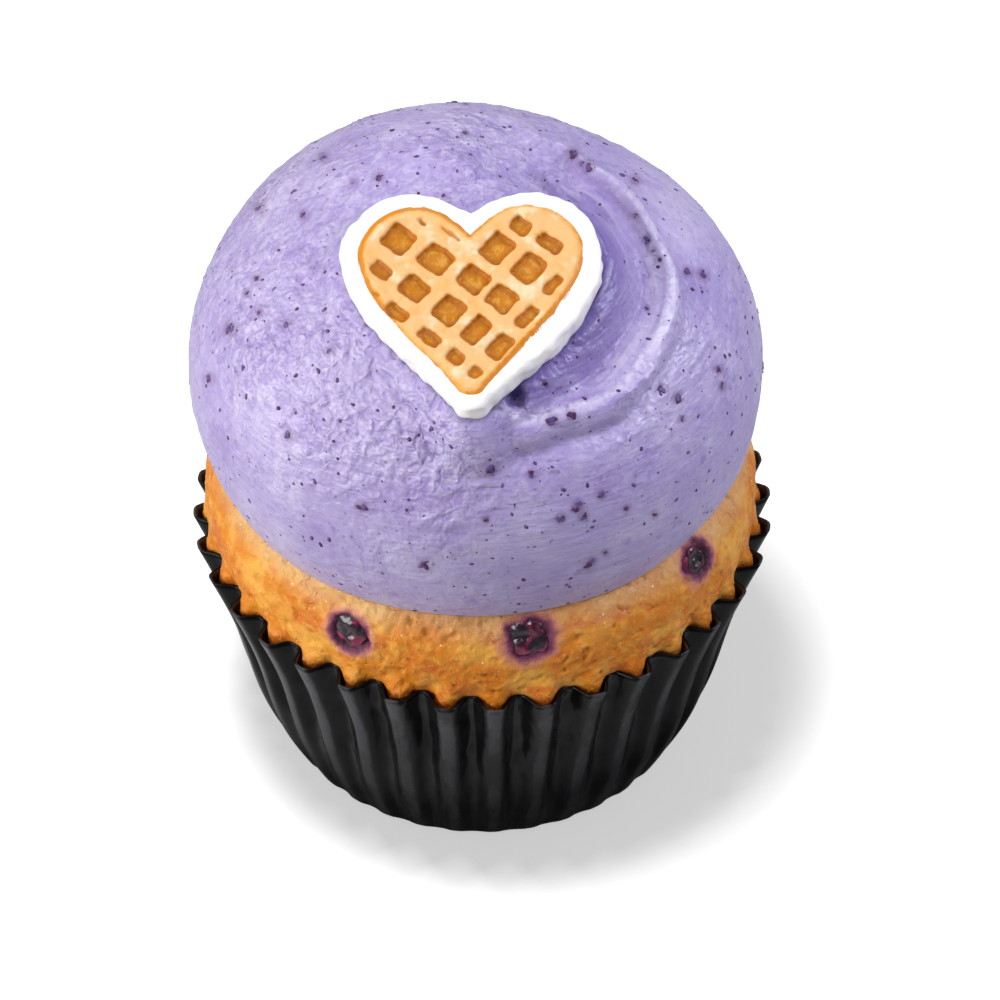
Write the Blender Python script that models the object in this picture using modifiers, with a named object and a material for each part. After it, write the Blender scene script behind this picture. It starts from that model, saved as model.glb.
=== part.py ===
"""A blueberry cupcake with a waffle heart on top, at its real size.

Six kinds of piece: a pleated paper case, the cake that fills it, blueberries baked into the
cake's crown, a round mound of blueberry frosting with one spatula swirl, a white sugar heart
pressed into the mound, and a golden waffle heart set into the sugar heart.

Metres, +Z up. The origin is the middle of the case's flat base. The front is -Y.
Angles round the cupcake are in radians from the front, and grow towards +X.
"""

import math

import bmesh
import bpy
from mathutils import Matrix, Vector, noise

MM = 0.001
GAP = 0.3 * MM

# Paper case
PLEATS = 36
STEPS_PER_PLEAT = 6
CASE_HEIGHT = 34.3 * MM
CASE_BASE_RADIUS = 25.9 * MM
CASE_RIM_RADIUS = 36.5 * MM
CASE_BELLY = 0.65 * MM
CASE_FLARE = 0.6 * MM
CASE_PAPER = 0.4 * MM
PLEAT_DEPTH_BASE = 0.7 * MM
PLEAT_DEPTH_RIM = 3.0 * MM
PLEAT_SQUARENESS = 0.16
CASE_CORNER = 1.2 * MM
SMOOTH_BELOW = 40.0
CASE_RING_HEIGHTS = (0.04, 0.32, 0.66, 1.0)

# Cake
CAKE_SIDE_CLEARANCE = 0.85 * MM
CAKE_CORNER = (1.4 * MM, 1.2 * MM)
CAKE_RING_HEIGHTS = (9.0 * MM, 18.0 * MM, 27.0 * MM, CASE_HEIGHT)
CROWN_LIP = (1.3 * MM, 1.2 * MM)
CROWN_LUMPS = 0.25 * MM
CROWN_BELLY_HEIGHT = 37.5 * MM
CROWN_RISE = 12.7 * MM
CROWN_WIDE_RADIUS = 34.6 * MM
CROWN_NARROW_RADIUS = 34.0 * MM
CROWN_SHOULDER = 6.0
CROWN_ROUNDNESS = 2.3
CAKE_STEPS = 56
CROWN_RINGS = 8

# Blueberries: angle round the crown in degrees, height as a share of the crown's rise,
# radius, and how far the berry's top stands out of the crust
BERRIES = {
    "berry_front_left": (-28.6, 0.27, 3.2 * MM, 0.45 * MM),
    "berry_front_middle": (10.0, 0.47, 4.1 * MM, 0.80 * MM),
    "berry_front_right": (52.5, 0.57, 3.7 * MM, 0.50 * MM),
    "berry_side_right": (112.0, 0.30, 3.3 * MM, 0.45 * MM),
    "berry_back": (171.0, 0.48, 3.9 * MM, 0.70 * MM),
    "berry_side_left": (-118.0, 0.42, 3.6 * MM, 0.55 * MM),
}
BERRY_SQUASH = 0.92
BERRY_SEGMENTS = 12
BERRY_RINGS = 7

# Frosting
MOUND_RADIUS = 34.9 * MM
MOUND_MIDDLE_HEIGHT = 58.9 * MM
MOUND_RISE = 27.9 * MM
MOUND_UNDER_FULLNESS = 2.2
MOUND_OFFSET_X = -0.6 * MM
MOUND_LEAN_LEFT = 1.7 * MM
MOUND_LEAN_RIGHT = 3.2 * MM
MOUND_LUMPS = 0.35 * MM
MOUND_LUMPS_PER_METRE = 70.0
MOUND_STEPS = 72
MOUND_RINGS = 27
MOUND_FOOT = -0.72

# Spatula swirl, drawn on the mound as seen from above: a lip that winds round SWIRL_MIDDLE.
# Each pair is an angle in degrees from the back towards +X, and the lip's radius there.
SWIRL_MIDDLE = (-1.0 * MM, -10.0 * MM)
SWIRL_LIP = (
    (0.0, 28.4 * MM),
    (24.0, 24.9 * MM),
    (45.0, 22.0 * MM),
    (68.0, 21.3 * MM),
    (98.0, 23.3 * MM),
    (122.0, 22.9 * MM),
    (152.0, 19.8 * MM),
    (185.0, 18.6 * MM),
)
SWIRL_START = (0.0, 48.0)
SWIRL_END = (158.0, 192.0)
LIP_HEIGHT = 1.1 * MM
LIP_WIDTH = 1.8 * MM
LIP_INSET = 2.3 * MM
CREASE_DEPTH = 0.6 * MM
CREASE_WIDTH = 1.2 * MM
BOWL_DEPTH = 2.1 * MM
BOWL_INSET = 9.0 * MM
BOWL_WIDTH = 4.6 * MM

# Sugar heart and waffle heart, in the heart's own plane: x to the right, y to the notch
SUGAR_OUTLINE = {
    "half_width": 15.1 * MM,
    "top": 13.7 * MM,
    "tip": -14.1 * MM,
    "notch": 11.2 * MM,
    "lobe": 7.0 * MM,
    "widest": 5.6 * MM,
}
SUGAR_THICKNESS = 4.1 * MM
SUGAR_EDGE = 0.7 * MM
WAFFLE_OUTLINE = {
    "half_width": 13.0 * MM,
    "top": 11.8 * MM,
    "tip": -12.5 * MM,
    "notch": 8.0 * MM,
    "lobe": 6.0 * MM,
    "widest": 5.8 * MM,
}
WAFFLE_THICKNESS = 1.5 * MM
WAFFLE_PROUD = 0.35 * MM
WAFFLE_EDGE = 0.25 * MM
HEART_TILT = 21.5
HEART_LEAN = -2.0
HEART_TURN = -0.8
HEART_SEAT = (-1.15 * MM, -18.0 * MM)
HEART_PROUD = 2.6 * MM
POCKET_PITCH = 4.47 * MM
POCKET_SIZE = 3.2 * MM
POCKET_DEPTH = 0.75 * MM
POCKET_TURN = -35.6
POCKET_MIDDLE = (-0.2 * MM, 2.1 * MM)
POCKET_MARGIN = 2.0 * MM
POCKET_REACH = 3
CURVE_STEPS = 6
CLEAR_ABOVE = 9.0 * MM


def smoothstep(low, high, value):
    """0 below low, 1 above high, and a smooth ramp between them."""
    share = min(1.0, max(0.0, (value - low) / (high - low)))
    return share * share * (3.0 - 2.0 * share)


def polar(angle, radius, height):
    """A point at an angle from the front."""
    return Vector((radius * math.sin(angle), -radius * math.cos(angle), height))


def collection_named(name):
    """A new collection of the scene."""
    made = bpy.data.collections.new(name)
    bpy.context.scene.collection.children.link(made)
    return made


def material_named(name, colour, roughness, metallic=0.0):
    """A Principled material of one colour."""
    made = bpy.data.materials.new(name)
    made.use_nodes = True
    shader = made.node_tree.nodes["Principled BSDF"]
    shader.inputs["Base Color"].default_value = (*colour, 1.0)
    shader.inputs["Roughness"].default_value = roughness
    shader.inputs["Metallic"].default_value = metallic
    return made


def object_from(name, shape, collection, material=None):
    """An object that holds a finished bmesh."""
    mesh = bpy.data.meshes.new(name)
    shape.to_mesh(mesh)
    shape.free()
    made = bpy.data.objects.new(name, mesh)
    collection.objects.link(made)
    if material:
        mesh.materials.append(material)
        mesh.shade_smooth()
        mesh.set_sharp_from_angle(angle=math.radians(SMOOTH_BELOW))
    return made


def hide_helper(helper):
    """Marks an object as a cutter that is no part of the cupcake."""
    helper.hide_render = True
    helper.display_type = "WIRE"
    return helper


def cut_away(piece, cutter):
    """Cuts one object out of another."""
    cut = piece.modifiers.new(cutter.name, "BOOLEAN")
    cut.operation = "DIFFERENCE"
    cut.object = cutter


def add_rings(shape, rings):
    """Rings of points, joined by strips of quads. Gives the rings' vertices."""
    laid = [[shape.verts.new(point) for point in ring] for ring in rings]
    for lower, upper in zip(laid, laid[1:]):
        count = len(lower)
        for i in range(count):
            following = (i + 1) % count
            shape.faces.new((lower[i], lower[following], upper[following], upper[i]))
    return laid


def close_ring(shape, ring, point):
    """Closes a ring with a fan of triangles to one point."""
    tip = shape.verts.new(point)
    for i, vertex in enumerate(ring):
        shape.faces.new((vertex, ring[(i + 1) % len(ring)], tip))


def case_outer_radius(share):
    """Radius of the outer folds at a share of the case's height."""
    cone = CASE_BASE_RADIUS + (CASE_RIM_RADIUS - CASE_BASE_RADIUS) * share
    belly = 4.0 * CASE_BELLY * share * (1.0 - share)
    return cone + belly + CASE_FLARE * math.sin(2.0 * math.pi * share)


def pleat_depth(share):
    """How far the inner folds lie inside the outer ones."""
    return PLEAT_DEPTH_BASE + (PLEAT_DEPTH_RIM - PLEAT_DEPTH_BASE) * share


def pleat_wave(angle):
    """-1 on an inner fold and 1 on an outer one, with flat tops."""
    phase = PLEATS * angle
    wave = math.sin(phase) + PLEAT_SQUARENESS * math.sin(3.0 * phase)
    return wave / (1.0 - PLEAT_SQUARENESS)


def build_case(collection, material):
    """The pleated paper case: one sheet with a flat base, given its thickness."""
    shape = bmesh.new()
    count = PLEATS * STEPS_PER_PLEAT
    angles = [2.0 * math.pi * (i + 0.5) / count for i in range(count)]
    foot = CASE_BASE_RADIUS - CASE_CORNER
    rings = [[polar(angle, foot, 0.0) for angle in angles]]
    for share in CASE_RING_HEIGHTS:
        outer = case_outer_radius(share)
        depth = pleat_depth(share)
        rings.append(
            [
                polar(a, outer - 0.5 * depth * (1.0 - pleat_wave(a)), share * CASE_HEIGHT)
                for a in angles
            ]
        )
    laid = add_rings(shape, rings)
    close_ring(shape, list(reversed(laid[0])), Vector((0.0, 0.0, 0.0)))
    bmesh.ops.recalc_face_normals(shape, faces=shape.faces)
    case = object_from("paper_case", shape, collection, material)
    wall = case.modifiers.new("paper", "SOLIDIFY")
    wall.thickness = CASE_PAPER
    wall.offset = -1.0
    wall.use_even_offset = True
    return case


def cake_side_radius(height):
    """The cake's radius inside the case, clear of the inner folds."""
    share = height / CASE_HEIGHT
    return case_outer_radius(share) - pleat_depth(share) - CAKE_SIDE_CLEARANCE


def crown_radius(angle):
    """The crown's largest radius: it spread more to the sides than to the front."""
    spread = math.sin(angle) ** 2
    lumps = CROWN_LUMPS * math.sin(3.0 * angle + 0.7)
    return CROWN_NARROW_RADIUS + (CROWN_WIDE_RADIUS - CROWN_NARROW_RADIUS) * spread + lumps


def crown_radius_at(angle, share):
    """The crown's radius at a share of its rise."""
    flat = (1.0 - min(1.0, abs(share)) ** CROWN_ROUNDNESS) ** (1.0 / CROWN_SHOULDER)
    return crown_radius(angle) * flat


def crown_point(angle, share):
    """A point on the crown's crust."""
    height = CROWN_BELLY_HEIGHT + CROWN_RISE * share
    return polar(angle, crown_radius_at(angle, share), height)


def crown_normal(angle, share):
    """The outward direction on the crust."""
    step = 0.01
    around = crown_point(angle + step, share) - crown_point(angle - step, share)
    along = crown_point(angle, share + step) - crown_point(angle, share - step)
    return around.cross(along).normalized()


def crown_rings(angles, margin=0.0):
    """The crown's crust, or a surface that clears it by a margin."""
    rings = []
    for i in range(CROWN_RINGS):
        share = math.sin(0.5 * math.pi * i / CROWN_RINGS)
        rings.append([crown_point(a, share) + crown_normal(a, share) * margin for a in angles])
    return rings


def cake_rings(angles):
    """The cake's outline from its foot to the top of the crown."""
    low = CASE_PAPER + GAP
    rings = [[polar(a, cake_side_radius(low) - CAKE_CORNER[0], low) for a in angles]]
    for height in (low + CAKE_CORNER[1], *CAKE_RING_HEIGHTS):
        rings.append([polar(a, cake_side_radius(height), height) for a in angles])
    lip = CASE_HEIGHT + CROWN_LIP[1]
    rings.append([polar(a, crown_radius(a) - CROWN_LIP[0], lip) for a in angles])
    return rings + crown_rings(angles)


def round_angles(count):
    """Evenly spaced angles round the cupcake."""
    return [2.0 * math.pi * i / count for i in range(count)]


def close_body(shape, laid, low_point, high_point):
    """Closes the first and last rings and turns every face outwards."""
    close_ring(shape, list(reversed(laid[0])), low_point)
    close_ring(shape, laid[-1], high_point)
    bmesh.ops.recalc_face_normals(shape, faces=shape.faces)


def build_crown_space(collection):
    """The space that the crown takes from the frosting's underside."""
    shape = bmesh.new()
    laid = add_rings(shape, crown_rings(round_angles(CAKE_STEPS), GAP))
    low = Vector((0.0, 0.0, CROWN_BELLY_HEIGHT))
    close_body(shape, laid, low, low + Vector((0.0, 0.0, CROWN_RISE + GAP)))
    return hide_helper(object_from("crown_space", shape, collection))


def build_cake(collection, cutters, material):
    """The cake: a side that follows the case, a crown, and a socket for each berry."""
    shape = bmesh.new()
    laid = add_rings(shape, cake_rings(round_angles(CAKE_STEPS)))
    low = Vector((0.0, 0.0, CASE_PAPER + GAP))
    close_body(shape, laid, low, Vector((0.0, 0.0, CROWN_BELLY_HEIGHT + CROWN_RISE)))
    cake = object_from("cake", shape, collection, material)
    for name in BERRIES:
        cut_away(cake, hide_helper(build_berry_shape(name, cutters, GAP)))
    return cake


def build_berry_shape(name, collection, margin=0.0, material=None):
    """One blueberry, sunk into the crust and turned to face out of it."""
    degrees, share, radius, proud = BERRIES[name]
    angle = math.radians(degrees)
    outward = crown_normal(angle, share)
    middle = crown_point(angle, share) + outward * (proud - radius * BERRY_SQUASH)
    shape = bmesh.new()
    bmesh.ops.create_uvsphere(
        shape, u_segments=BERRY_SEGMENTS, v_segments=BERRY_RINGS, radius=1.0
    )
    turn = outward.to_track_quat("Z", "Y").to_matrix().to_4x4()
    size = Matrix.Diagonal((radius + margin, radius + margin, radius * BERRY_SQUASH + margin, 1.0))
    bmesh.ops.transform(shape, matrix=Matrix.Translation(middle) @ turn @ size, verts=shape.verts)
    return object_from(name if margin == 0.0 else "socket_" + name, shape, collection, material)


def swirl_lip_radius(degrees):
    """The lip's radius round the swirl's middle."""
    for (start, first), (end, second) in zip(SWIRL_LIP, SWIRL_LIP[1:]):
        if degrees <= end:
            return first + (second - first) * smoothstep(start, end, degrees)
    return SWIRL_LIP[-1][1]


def swirl_relief(x, y):
    """How far the spatula raised or lowered the mound at a point seen from above."""
    across = x - SWIRL_MIDDLE[0]
    back = y - SWIRL_MIDDLE[1]
    degrees = math.degrees(math.atan2(across, back)) % 360.0
    strength = smoothstep(*SWIRL_START, degrees) - smoothstep(*SWIRL_END, degrees)
    inset = swirl_lip_radius(degrees) - math.hypot(across, back)
    lip = LIP_HEIGHT * math.exp(-(((inset - LIP_INSET) / LIP_WIDTH) ** 2))
    crease = CREASE_DEPTH * math.exp(-((inset / CREASE_WIDTH) ** 2))
    bowl = BOWL_DEPTH * math.exp(-(((inset - BOWL_INSET) / BOWL_WIDTH) ** 2))
    return strength * (lip - crease - bowl)


def mound_radius_at(rise):
    """The mound's radius, where rise is -1 to 1 over its half height."""
    power = MOUND_UNDER_FULLNESS if rise < 0.0 else 2.0
    return MOUND_RADIUS * (1.0 - abs(rise) ** power) ** (1.0 / power)


def mound_point(angle, lift):
    """A point of the mound, where lift is 0 at its foot and 1 at its top."""
    slope = MOUND_FOOT + (0.5 * math.pi - MOUND_FOOT) * lift
    rise = math.sin(slope)
    radius = mound_radius_at(rise)
    point = polar(angle, radius, MOUND_MIDDLE_HEIGHT + MOUND_RISE * rise)
    outward = polar(angle, math.cos(slope) / MOUND_RADIUS, rise / MOUND_RISE).normalized()
    lumps = MOUND_LUMPS * noise.noise(point * MOUND_LUMPS_PER_METRE)
    lean = MOUND_LEAN_RIGHT if math.sin(angle) > 0.0 else MOUND_LEAN_LEFT
    lean *= max(0.0, rise) * math.sin(angle) * max(0.0, -math.cos(angle))
    shift = swirl_relief(point.x, point.y) + lumps - lean
    return point + outward * shift + Vector((MOUND_OFFSET_X, 0.0, 0.0))


def build_mound(collection, material, spaces):
    """The frosting: a round mound, less the spaces that the other pieces take from it."""
    angles = round_angles(MOUND_STEPS)
    rings = [[mound_point(a, i / MOUND_RINGS) for a in angles] for i in range(MOUND_RINGS)]
    shape = bmesh.new()
    laid = add_rings(shape, rings)
    low = Vector((0.0, 0.0, rings[0][0].z))
    close_body(shape, laid, low, mound_point(0.0, 1.0))
    mound = object_from("frosting", shape, collection, material)
    for space in spaces:
        cut_away(mound, space)
    return mound


def heart_curve(name, outline, margin=0.0):
    """A flat heart as a Bezier curve, moved outwards by a margin."""
    wide, top, tip, notch = (outline[key] for key in ("half_width", "top", "tip", "notch"))
    lobe, widest = outline["lobe"], outline["widest"]
    rise = notch + 0.64 * (top - notch)
    # the right half: each point, with the handle before it and the handle after it
    right = (
        ((0.0, notch), (-0.17 * wide, rise), (0.17 * wide, rise)),
        ((lobe, top), (0.7 * lobe, top), (0.84 * wide, top)),
        ((wide, widest), (wide, 0.65 * top), (wide, widest - 0.55 * top)),
        ((0.1 * wide, 0.97 * tip), (0.42 * wide, 0.57 * tip), (0.06 * wide, tip)),
        ((0.0, tip), (0.03 * wide, tip), (-0.03 * wide, tip)),
    )
    left = [
        ((-point[0], point[1]), (-after[0], after[1]), (-before[0], before[1]))
        for point, before, after in reversed(right[1:-1])
    ]
    points = list(right) + left
    curve = bpy.data.curves.new(name, "CURVE")
    curve.dimensions = "2D"
    curve.fill_mode = "BOTH"
    curve.resolution_u = CURVE_STEPS
    curve.offset = margin
    spline = curve.splines.new("BEZIER")
    spline.bezier_points.add(len(points) - 1)
    spline.use_cyclic_u = True
    for bezier, (point, before, after) in zip(spline.bezier_points, points):
        bezier.handle_left_type = bezier.handle_right_type = "FREE"
        bezier.co = (*point, 0.0)
        bezier.handle_left = (*before, 0.0)
        bezier.handle_right = (*after, 0.0)
    return curve


def heart_slab(name, collection, outline, low, high, edge=0.0, margin=0.0, material=None):
    """A heart-shaped slab between two heights of the heart's own frame, as a mesh."""
    curve = heart_curve(name, outline, margin - edge)
    curve.extrude = 0.5 * (high - low) - edge
    curve.bevel_depth = edge
    curve.bevel_resolution = 1 if edge else 0
    drawn = bpy.data.objects.new(name + "_curve", curve)
    collection.objects.link(drawn)
    bpy.context.view_layer.update()
    graph = bpy.context.evaluated_depsgraph_get()
    mesh = bpy.data.meshes.new_from_object(drawn.evaluated_get(graph))
    bpy.data.objects.remove(drawn)
    shape = bmesh.new()
    shape.from_mesh(mesh)
    bpy.data.meshes.remove(mesh)
    bmesh.ops.remove_doubles(shape, verts=shape.verts, dist=0.00001)
    bmesh.ops.recalc_face_normals(shape, faces=shape.faces)
    lift = Matrix.Translation((0.0, 0.0, 0.5 * (low + high)))
    bmesh.ops.transform(shape, matrix=lift, verts=shape.verts)
    return object_from(name, shape, collection, material)


def pocket_blocks(collection):
    """The blocks that press the waffle's square pockets, trimmed to a smaller heart."""
    shape = bmesh.new()
    turn = Matrix.Rotation(math.radians(POCKET_TURN), 4, "Z")
    middle = Matrix.Translation((*POCKET_MIDDLE, 0.0))
    size = Matrix.Diagonal((POCKET_SIZE, POCKET_SIZE, 4.0 * POCKET_DEPTH, 1.0))
    height = WAFFLE_PROUD + POCKET_DEPTH
    steps = range(-POCKET_REACH, POCKET_REACH + 1)
    for row in steps:
        for column in steps:
            step = Matrix.Translation((column * POCKET_PITCH, row * POCKET_PITCH, height))
            bmesh.ops.create_cube(shape, size=1.0, matrix=middle @ turn @ step @ size)
    blocks = hide_helper(object_from("pocket_blocks", shape, collection))
    field = heart_slab(
        "pocket_field",
        collection,
        WAFFLE_OUTLINE,
        -CLEAR_ABOVE,
        CLEAR_ABOVE,
        margin=-POCKET_MARGIN,
    )
    trim = blocks.modifiers.new("trim", "BOOLEAN")
    trim.operation = "INTERSECT"
    trim.object = hide_helper(field)
    return blocks


def heart_frame():
    """The heart's own frame: its origin is the middle of the sugar heart's top face."""
    x, y = HEART_SEAT
    reach = math.hypot(x, y) / MOUND_RADIUS
    surface = Vector((x, y, MOUND_MIDDLE_HEIGHT + MOUND_RISE * math.sqrt(1.0 - reach**2)))
    turn = (
        Matrix.Rotation(math.radians(HEART_LEAN), 4, "Y")
        @ Matrix.Rotation(math.radians(HEART_TILT), 4, "X")
        @ Matrix.Rotation(math.radians(HEART_TURN), 4, "Z")
    )
    outward = turn.to_3x3() @ Vector((0.0, 0.0, 1.0))
    return Matrix.Translation(surface + outward * HEART_PROUD) @ turn


def build_heart(collection, cutters, sugar, waffle):
    """The sugar heart, the waffle heart in its recess, and the space they take."""
    frame = bpy.data.objects.new("heart_frame", None)
    collection.objects.link(frame)
    frame.matrix_world = heart_frame()
    foot = -SUGAR_THICKNESS
    seat = WAFFLE_PROUD - WAFFLE_THICKNESS
    plaque = heart_slab(
        "sugar_heart", collection, SUGAR_OUTLINE, foot, 0.0, SUGAR_EDGE, material=sugar
    )
    top = heart_slab(
        "waffle_heart", collection, WAFFLE_OUTLINE, seat, WAFFLE_PROUD, WAFFLE_EDGE, material=waffle
    )
    recess = heart_slab("recess", cutters, WAFFLE_OUTLINE, seat - GAP, CLEAR_ABOVE, margin=GAP)
    space = heart_slab("heart_space", cutters, SUGAR_OUTLINE, foot - GAP, CLEAR_ABOVE, margin=GAP)
    blocks = pocket_blocks(cutters)
    cut_away(plaque, hide_helper(recess))
    cut_away(top, blocks)
    for piece in (plaque, top, recess, hide_helper(space), blocks, blocks.modifiers[0].object):
        piece.parent = frame
    return space


def main():
    """Builds the whole cupcake."""
    for old in list(bpy.data.objects):
        bpy.data.objects.remove(old)
    cupcake = collection_named("blueberry_cupcake")
    cutters = collection_named("cutters")
    black_paper = material_named("black_paper", (0.012, 0.012, 0.014), 0.32)
    golden_crumb = material_named("golden_crumb", (0.78, 0.42, 0.12), 0.75)
    berry_skin = material_named("berry_skin", (0.05, 0.015, 0.06), 0.4)
    lavender_cream = material_named("lavender_cream", (0.42, 0.34, 0.68), 0.45)
    white_sugar = material_named("white_sugar", (0.93, 0.91, 0.89), 0.5)
    golden_waffle = material_named("golden_waffle", (0.86, 0.58, 0.24), 0.55)
    build_case(cupcake, black_paper)
    build_cake(cupcake, cutters, golden_crumb)
    for name in BERRIES:
        build_berry_shape(name, cupcake, material=berry_skin)
    heart_space = build_heart(cupcake, cutters, white_sugar, golden_waffle)
    build_mound(cupcake, lavender_cream, (build_crown_space(cutters), heart_space))


main()
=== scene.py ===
"""A blueberry cupcake in a black pleated case, under lavender frosting with a waffle heart.

The packed model gives the frame, and each piece here stands for one of its nodes. Metres,
+Z up, and the front is -Y. Angles round the cupcake are in radians from the front, and grow
towards +X. The file is laid out as an add-on: its panel lists the pieces and their sizes.
"""

import math

import bmesh
import bpy
import numpy as np
from bpy.props import FloatProperty, FloatVectorProperty, IntProperty, PointerProperty
from mathutils import Matrix, Vector, noise
from mathutils.bvhtree import BVHTree


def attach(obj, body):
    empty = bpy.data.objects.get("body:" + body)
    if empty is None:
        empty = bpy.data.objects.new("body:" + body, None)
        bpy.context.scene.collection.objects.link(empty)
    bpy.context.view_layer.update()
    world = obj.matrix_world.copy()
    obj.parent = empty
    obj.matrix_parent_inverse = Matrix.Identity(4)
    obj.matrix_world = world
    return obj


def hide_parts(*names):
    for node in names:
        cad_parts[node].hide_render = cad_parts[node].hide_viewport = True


bl_info = {
    "name": "Blueberry Cupcake",
    "version": (1, 0, 0),
    "blender": (4, 5, 0),
    "location": "View3D > Sidebar > Cupcake",
    "description": "Builds a frosted blueberry cupcake with a waffle heart on top",
    "category": "Add Mesh",
}

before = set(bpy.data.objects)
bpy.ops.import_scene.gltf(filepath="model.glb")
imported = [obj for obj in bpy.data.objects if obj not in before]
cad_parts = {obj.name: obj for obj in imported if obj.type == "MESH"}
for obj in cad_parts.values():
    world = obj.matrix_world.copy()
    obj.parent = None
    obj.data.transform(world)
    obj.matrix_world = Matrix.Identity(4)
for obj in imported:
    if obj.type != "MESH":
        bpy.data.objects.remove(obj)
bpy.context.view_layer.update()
BODY = "root"

MM = 0.001
GAP = 0.3 * MM
TURN = 2.0 * math.pi
# Farther than any point of the cupcake
FAR_AWAY = 1.0

# Camera and stage
CAMERA_PLACE = (0.0, -0.36469, 0.38699)
CAMERA_AIM = (2.2 * MM, -5.2 * MM, 39.5 * MM)
CAMERA_LENS = 144.8
FLOOR_SIZE = 6.0
LIGHT_AIM = (0.0, 0.0, 0.05)
LIGHT_DISTANCE = 0.6
LIGHT_SIZE = 0.3
WARM_LIGHT = (1.0, 1.0, 0.95)
COOL_LIGHT = (0.96, 0.97, 1.10)
# Lights on the cupcake: degrees round from the front, degrees up, and colour
LIGHTS = {
    "key": (-50.0, 70.0, WARM_LIGHT),
    "side": (-86.0, 20.0, WARM_LIGHT),
    "front": (-50.0, 20.0, WARM_LIGHT),
    "fill": (88.0, 40.0, COOL_LIGHT),
    "rear": (180.0, 40.0, WARM_LIGHT),
}
# The light on the floor alone, which makes the shadow
OVERHEAD_BEARINGS = (-58.0, 81.5)
OVERHEAD_SIZE = 0.38 * LIGHT_SIZE

# Paper case
CASE_COLUMNS_PER_PLEAT = 16
CASE_BASE_ROWS = 10
CASE_WALL_ROWS = 44
CASE_CORNER_SHARE = 0.05
PLEAT_SQUARENESS = 0.06
PLEAT_FULLNESS = 1.55

# Cake
CAKE_FOOT = 0.7 * MM
CAKE_CORNER = 1.4 * MM
CAKE_SIDE_CLEARANCE = 0.85 * MM
CAKE_FOLD_CLEARANCE = 0.55 * MM
CAKE_COLUMNS = 864
# Heights between which the cake fills the folds, curves in to the crown, grows lumpy, clears the
# paper, and loses the painted shade low in the folds
FILL_HEIGHTS = (29.0 * MM, 31.5 * MM)
CURVE_HEIGHTS = (31.8 * MM, 36.9 * MM)
LUMPY_HEIGHTS = (31.0 * MM, 33.5 * MM)
PAPER_HEIGHTS = (36.2 * MM, 34.0 * MM)
FOLD_SHADE_HEIGHTS = (34.9 * MM, 33.6 * MM)
CROWN_BELLY_HEIGHT = 37.5 * MM
CROWN_RISE = 12.7 * MM
CROWN_WIDE_RADIUS = 34.6 * MM
CROWN_NARROW_RADIUS = 34.0 * MM
CROWN_SHOULDER = 6.0
CROWN_ROUNDNESS = 2.3
CROWN_LUMPS = 0.25 * MM
CROWN_TOP_SHARE = 0.78

# Blueberries: angle round the crown in degrees, height as a share of the crown's rise,
# radius, how far the berry's top stands out of the crust, and the share of it that shows
BERRIES = {
    "front_left": (-28.6, 0.27, 3.2 * MM, 0.25 * MM, 0.74),
    "front_middle": (9.6, 0.44, 4.1 * MM, 0.30 * MM, 0.60),
    "front_right": (52.0, 0.50, 3.7 * MM, 0.0 * MM, 0.56),
    "side_right": (112.0, 0.30, 3.3 * MM, 0.15 * MM, 0.62),
    "back": (171.0, 0.48, 3.9 * MM, 0.40 * MM, 0.76),
    "side_left": (-118.0, 0.42, 3.6 * MM, 0.20 * MM, 0.66),
}
BERRY_SQUASH = 0.92

# Frosting
MOUND_UNDER_FULLNESS = 2.2
MOUND_OFFSET_X = -0.6 * MM
MOUND_LEAN_LEFT = 1.7 * MM
MOUND_LEAN_RIGHT = 3.2 * MM
MOUND_LUMPS = 0.35 * MM
MOUND_LUMPS_PER_METRE = 70.0
MOUND_ROWS = 178
MOUND_COLUMNS = 576

# Spatula swirl, as seen from above: degrees from the back towards +X, and the lip's radius there
SWIRL_MIDDLE = (-1.0 * MM, -10.0 * MM)
SWIRL_LIP = (
    (0.0, 27.8 * MM),
    (25.0, 23.6 * MM),
    (45.0, 21.2 * MM),
    (66.0, 21.5 * MM),
    (94.0, 23.4 * MM),
    (126.0, 22.2 * MM),
    (154.0, 20.2 * MM),
    (185.0, 19.0 * MM),
)
SWIRL_START = (0.0, 48.0)
SWIRL_END = (158.0, 192.0)
LIP_WIDTH = 0.85 * MM
LIP_OUTER_WIDTH = 1.5 * MM
CREASE_INSET = -1.9 * MM
CREASE_WIDTH = 0.6 * MM
CREASE_START = (96.0, 118.0)
TERRACE_INSET = 4.4 * MM
TERRACE_WIDTH = 0.9 * MM
BOWL_INSET = 7.6 * MM
BOWL_WIDTH = 4.4 * MM
# Where the painted shade in the bowl falls, and how wide the heart's painted shadow beside it is
PAINTED_SHADE_INSET = 8.0 * MM
PAINTED_SHADE_WIDTH = 5.0 * MM
HEART_SHADE_WIDTH = 2.9 * MM
# How far inside the lip the swirl's strokes and its smoothness fade out
STROKES_FADE = (14.5 * MM, 9.0 * MM)
SMOOTH_FADE = (14.0 * MM, 9.0 * MM)

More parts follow.
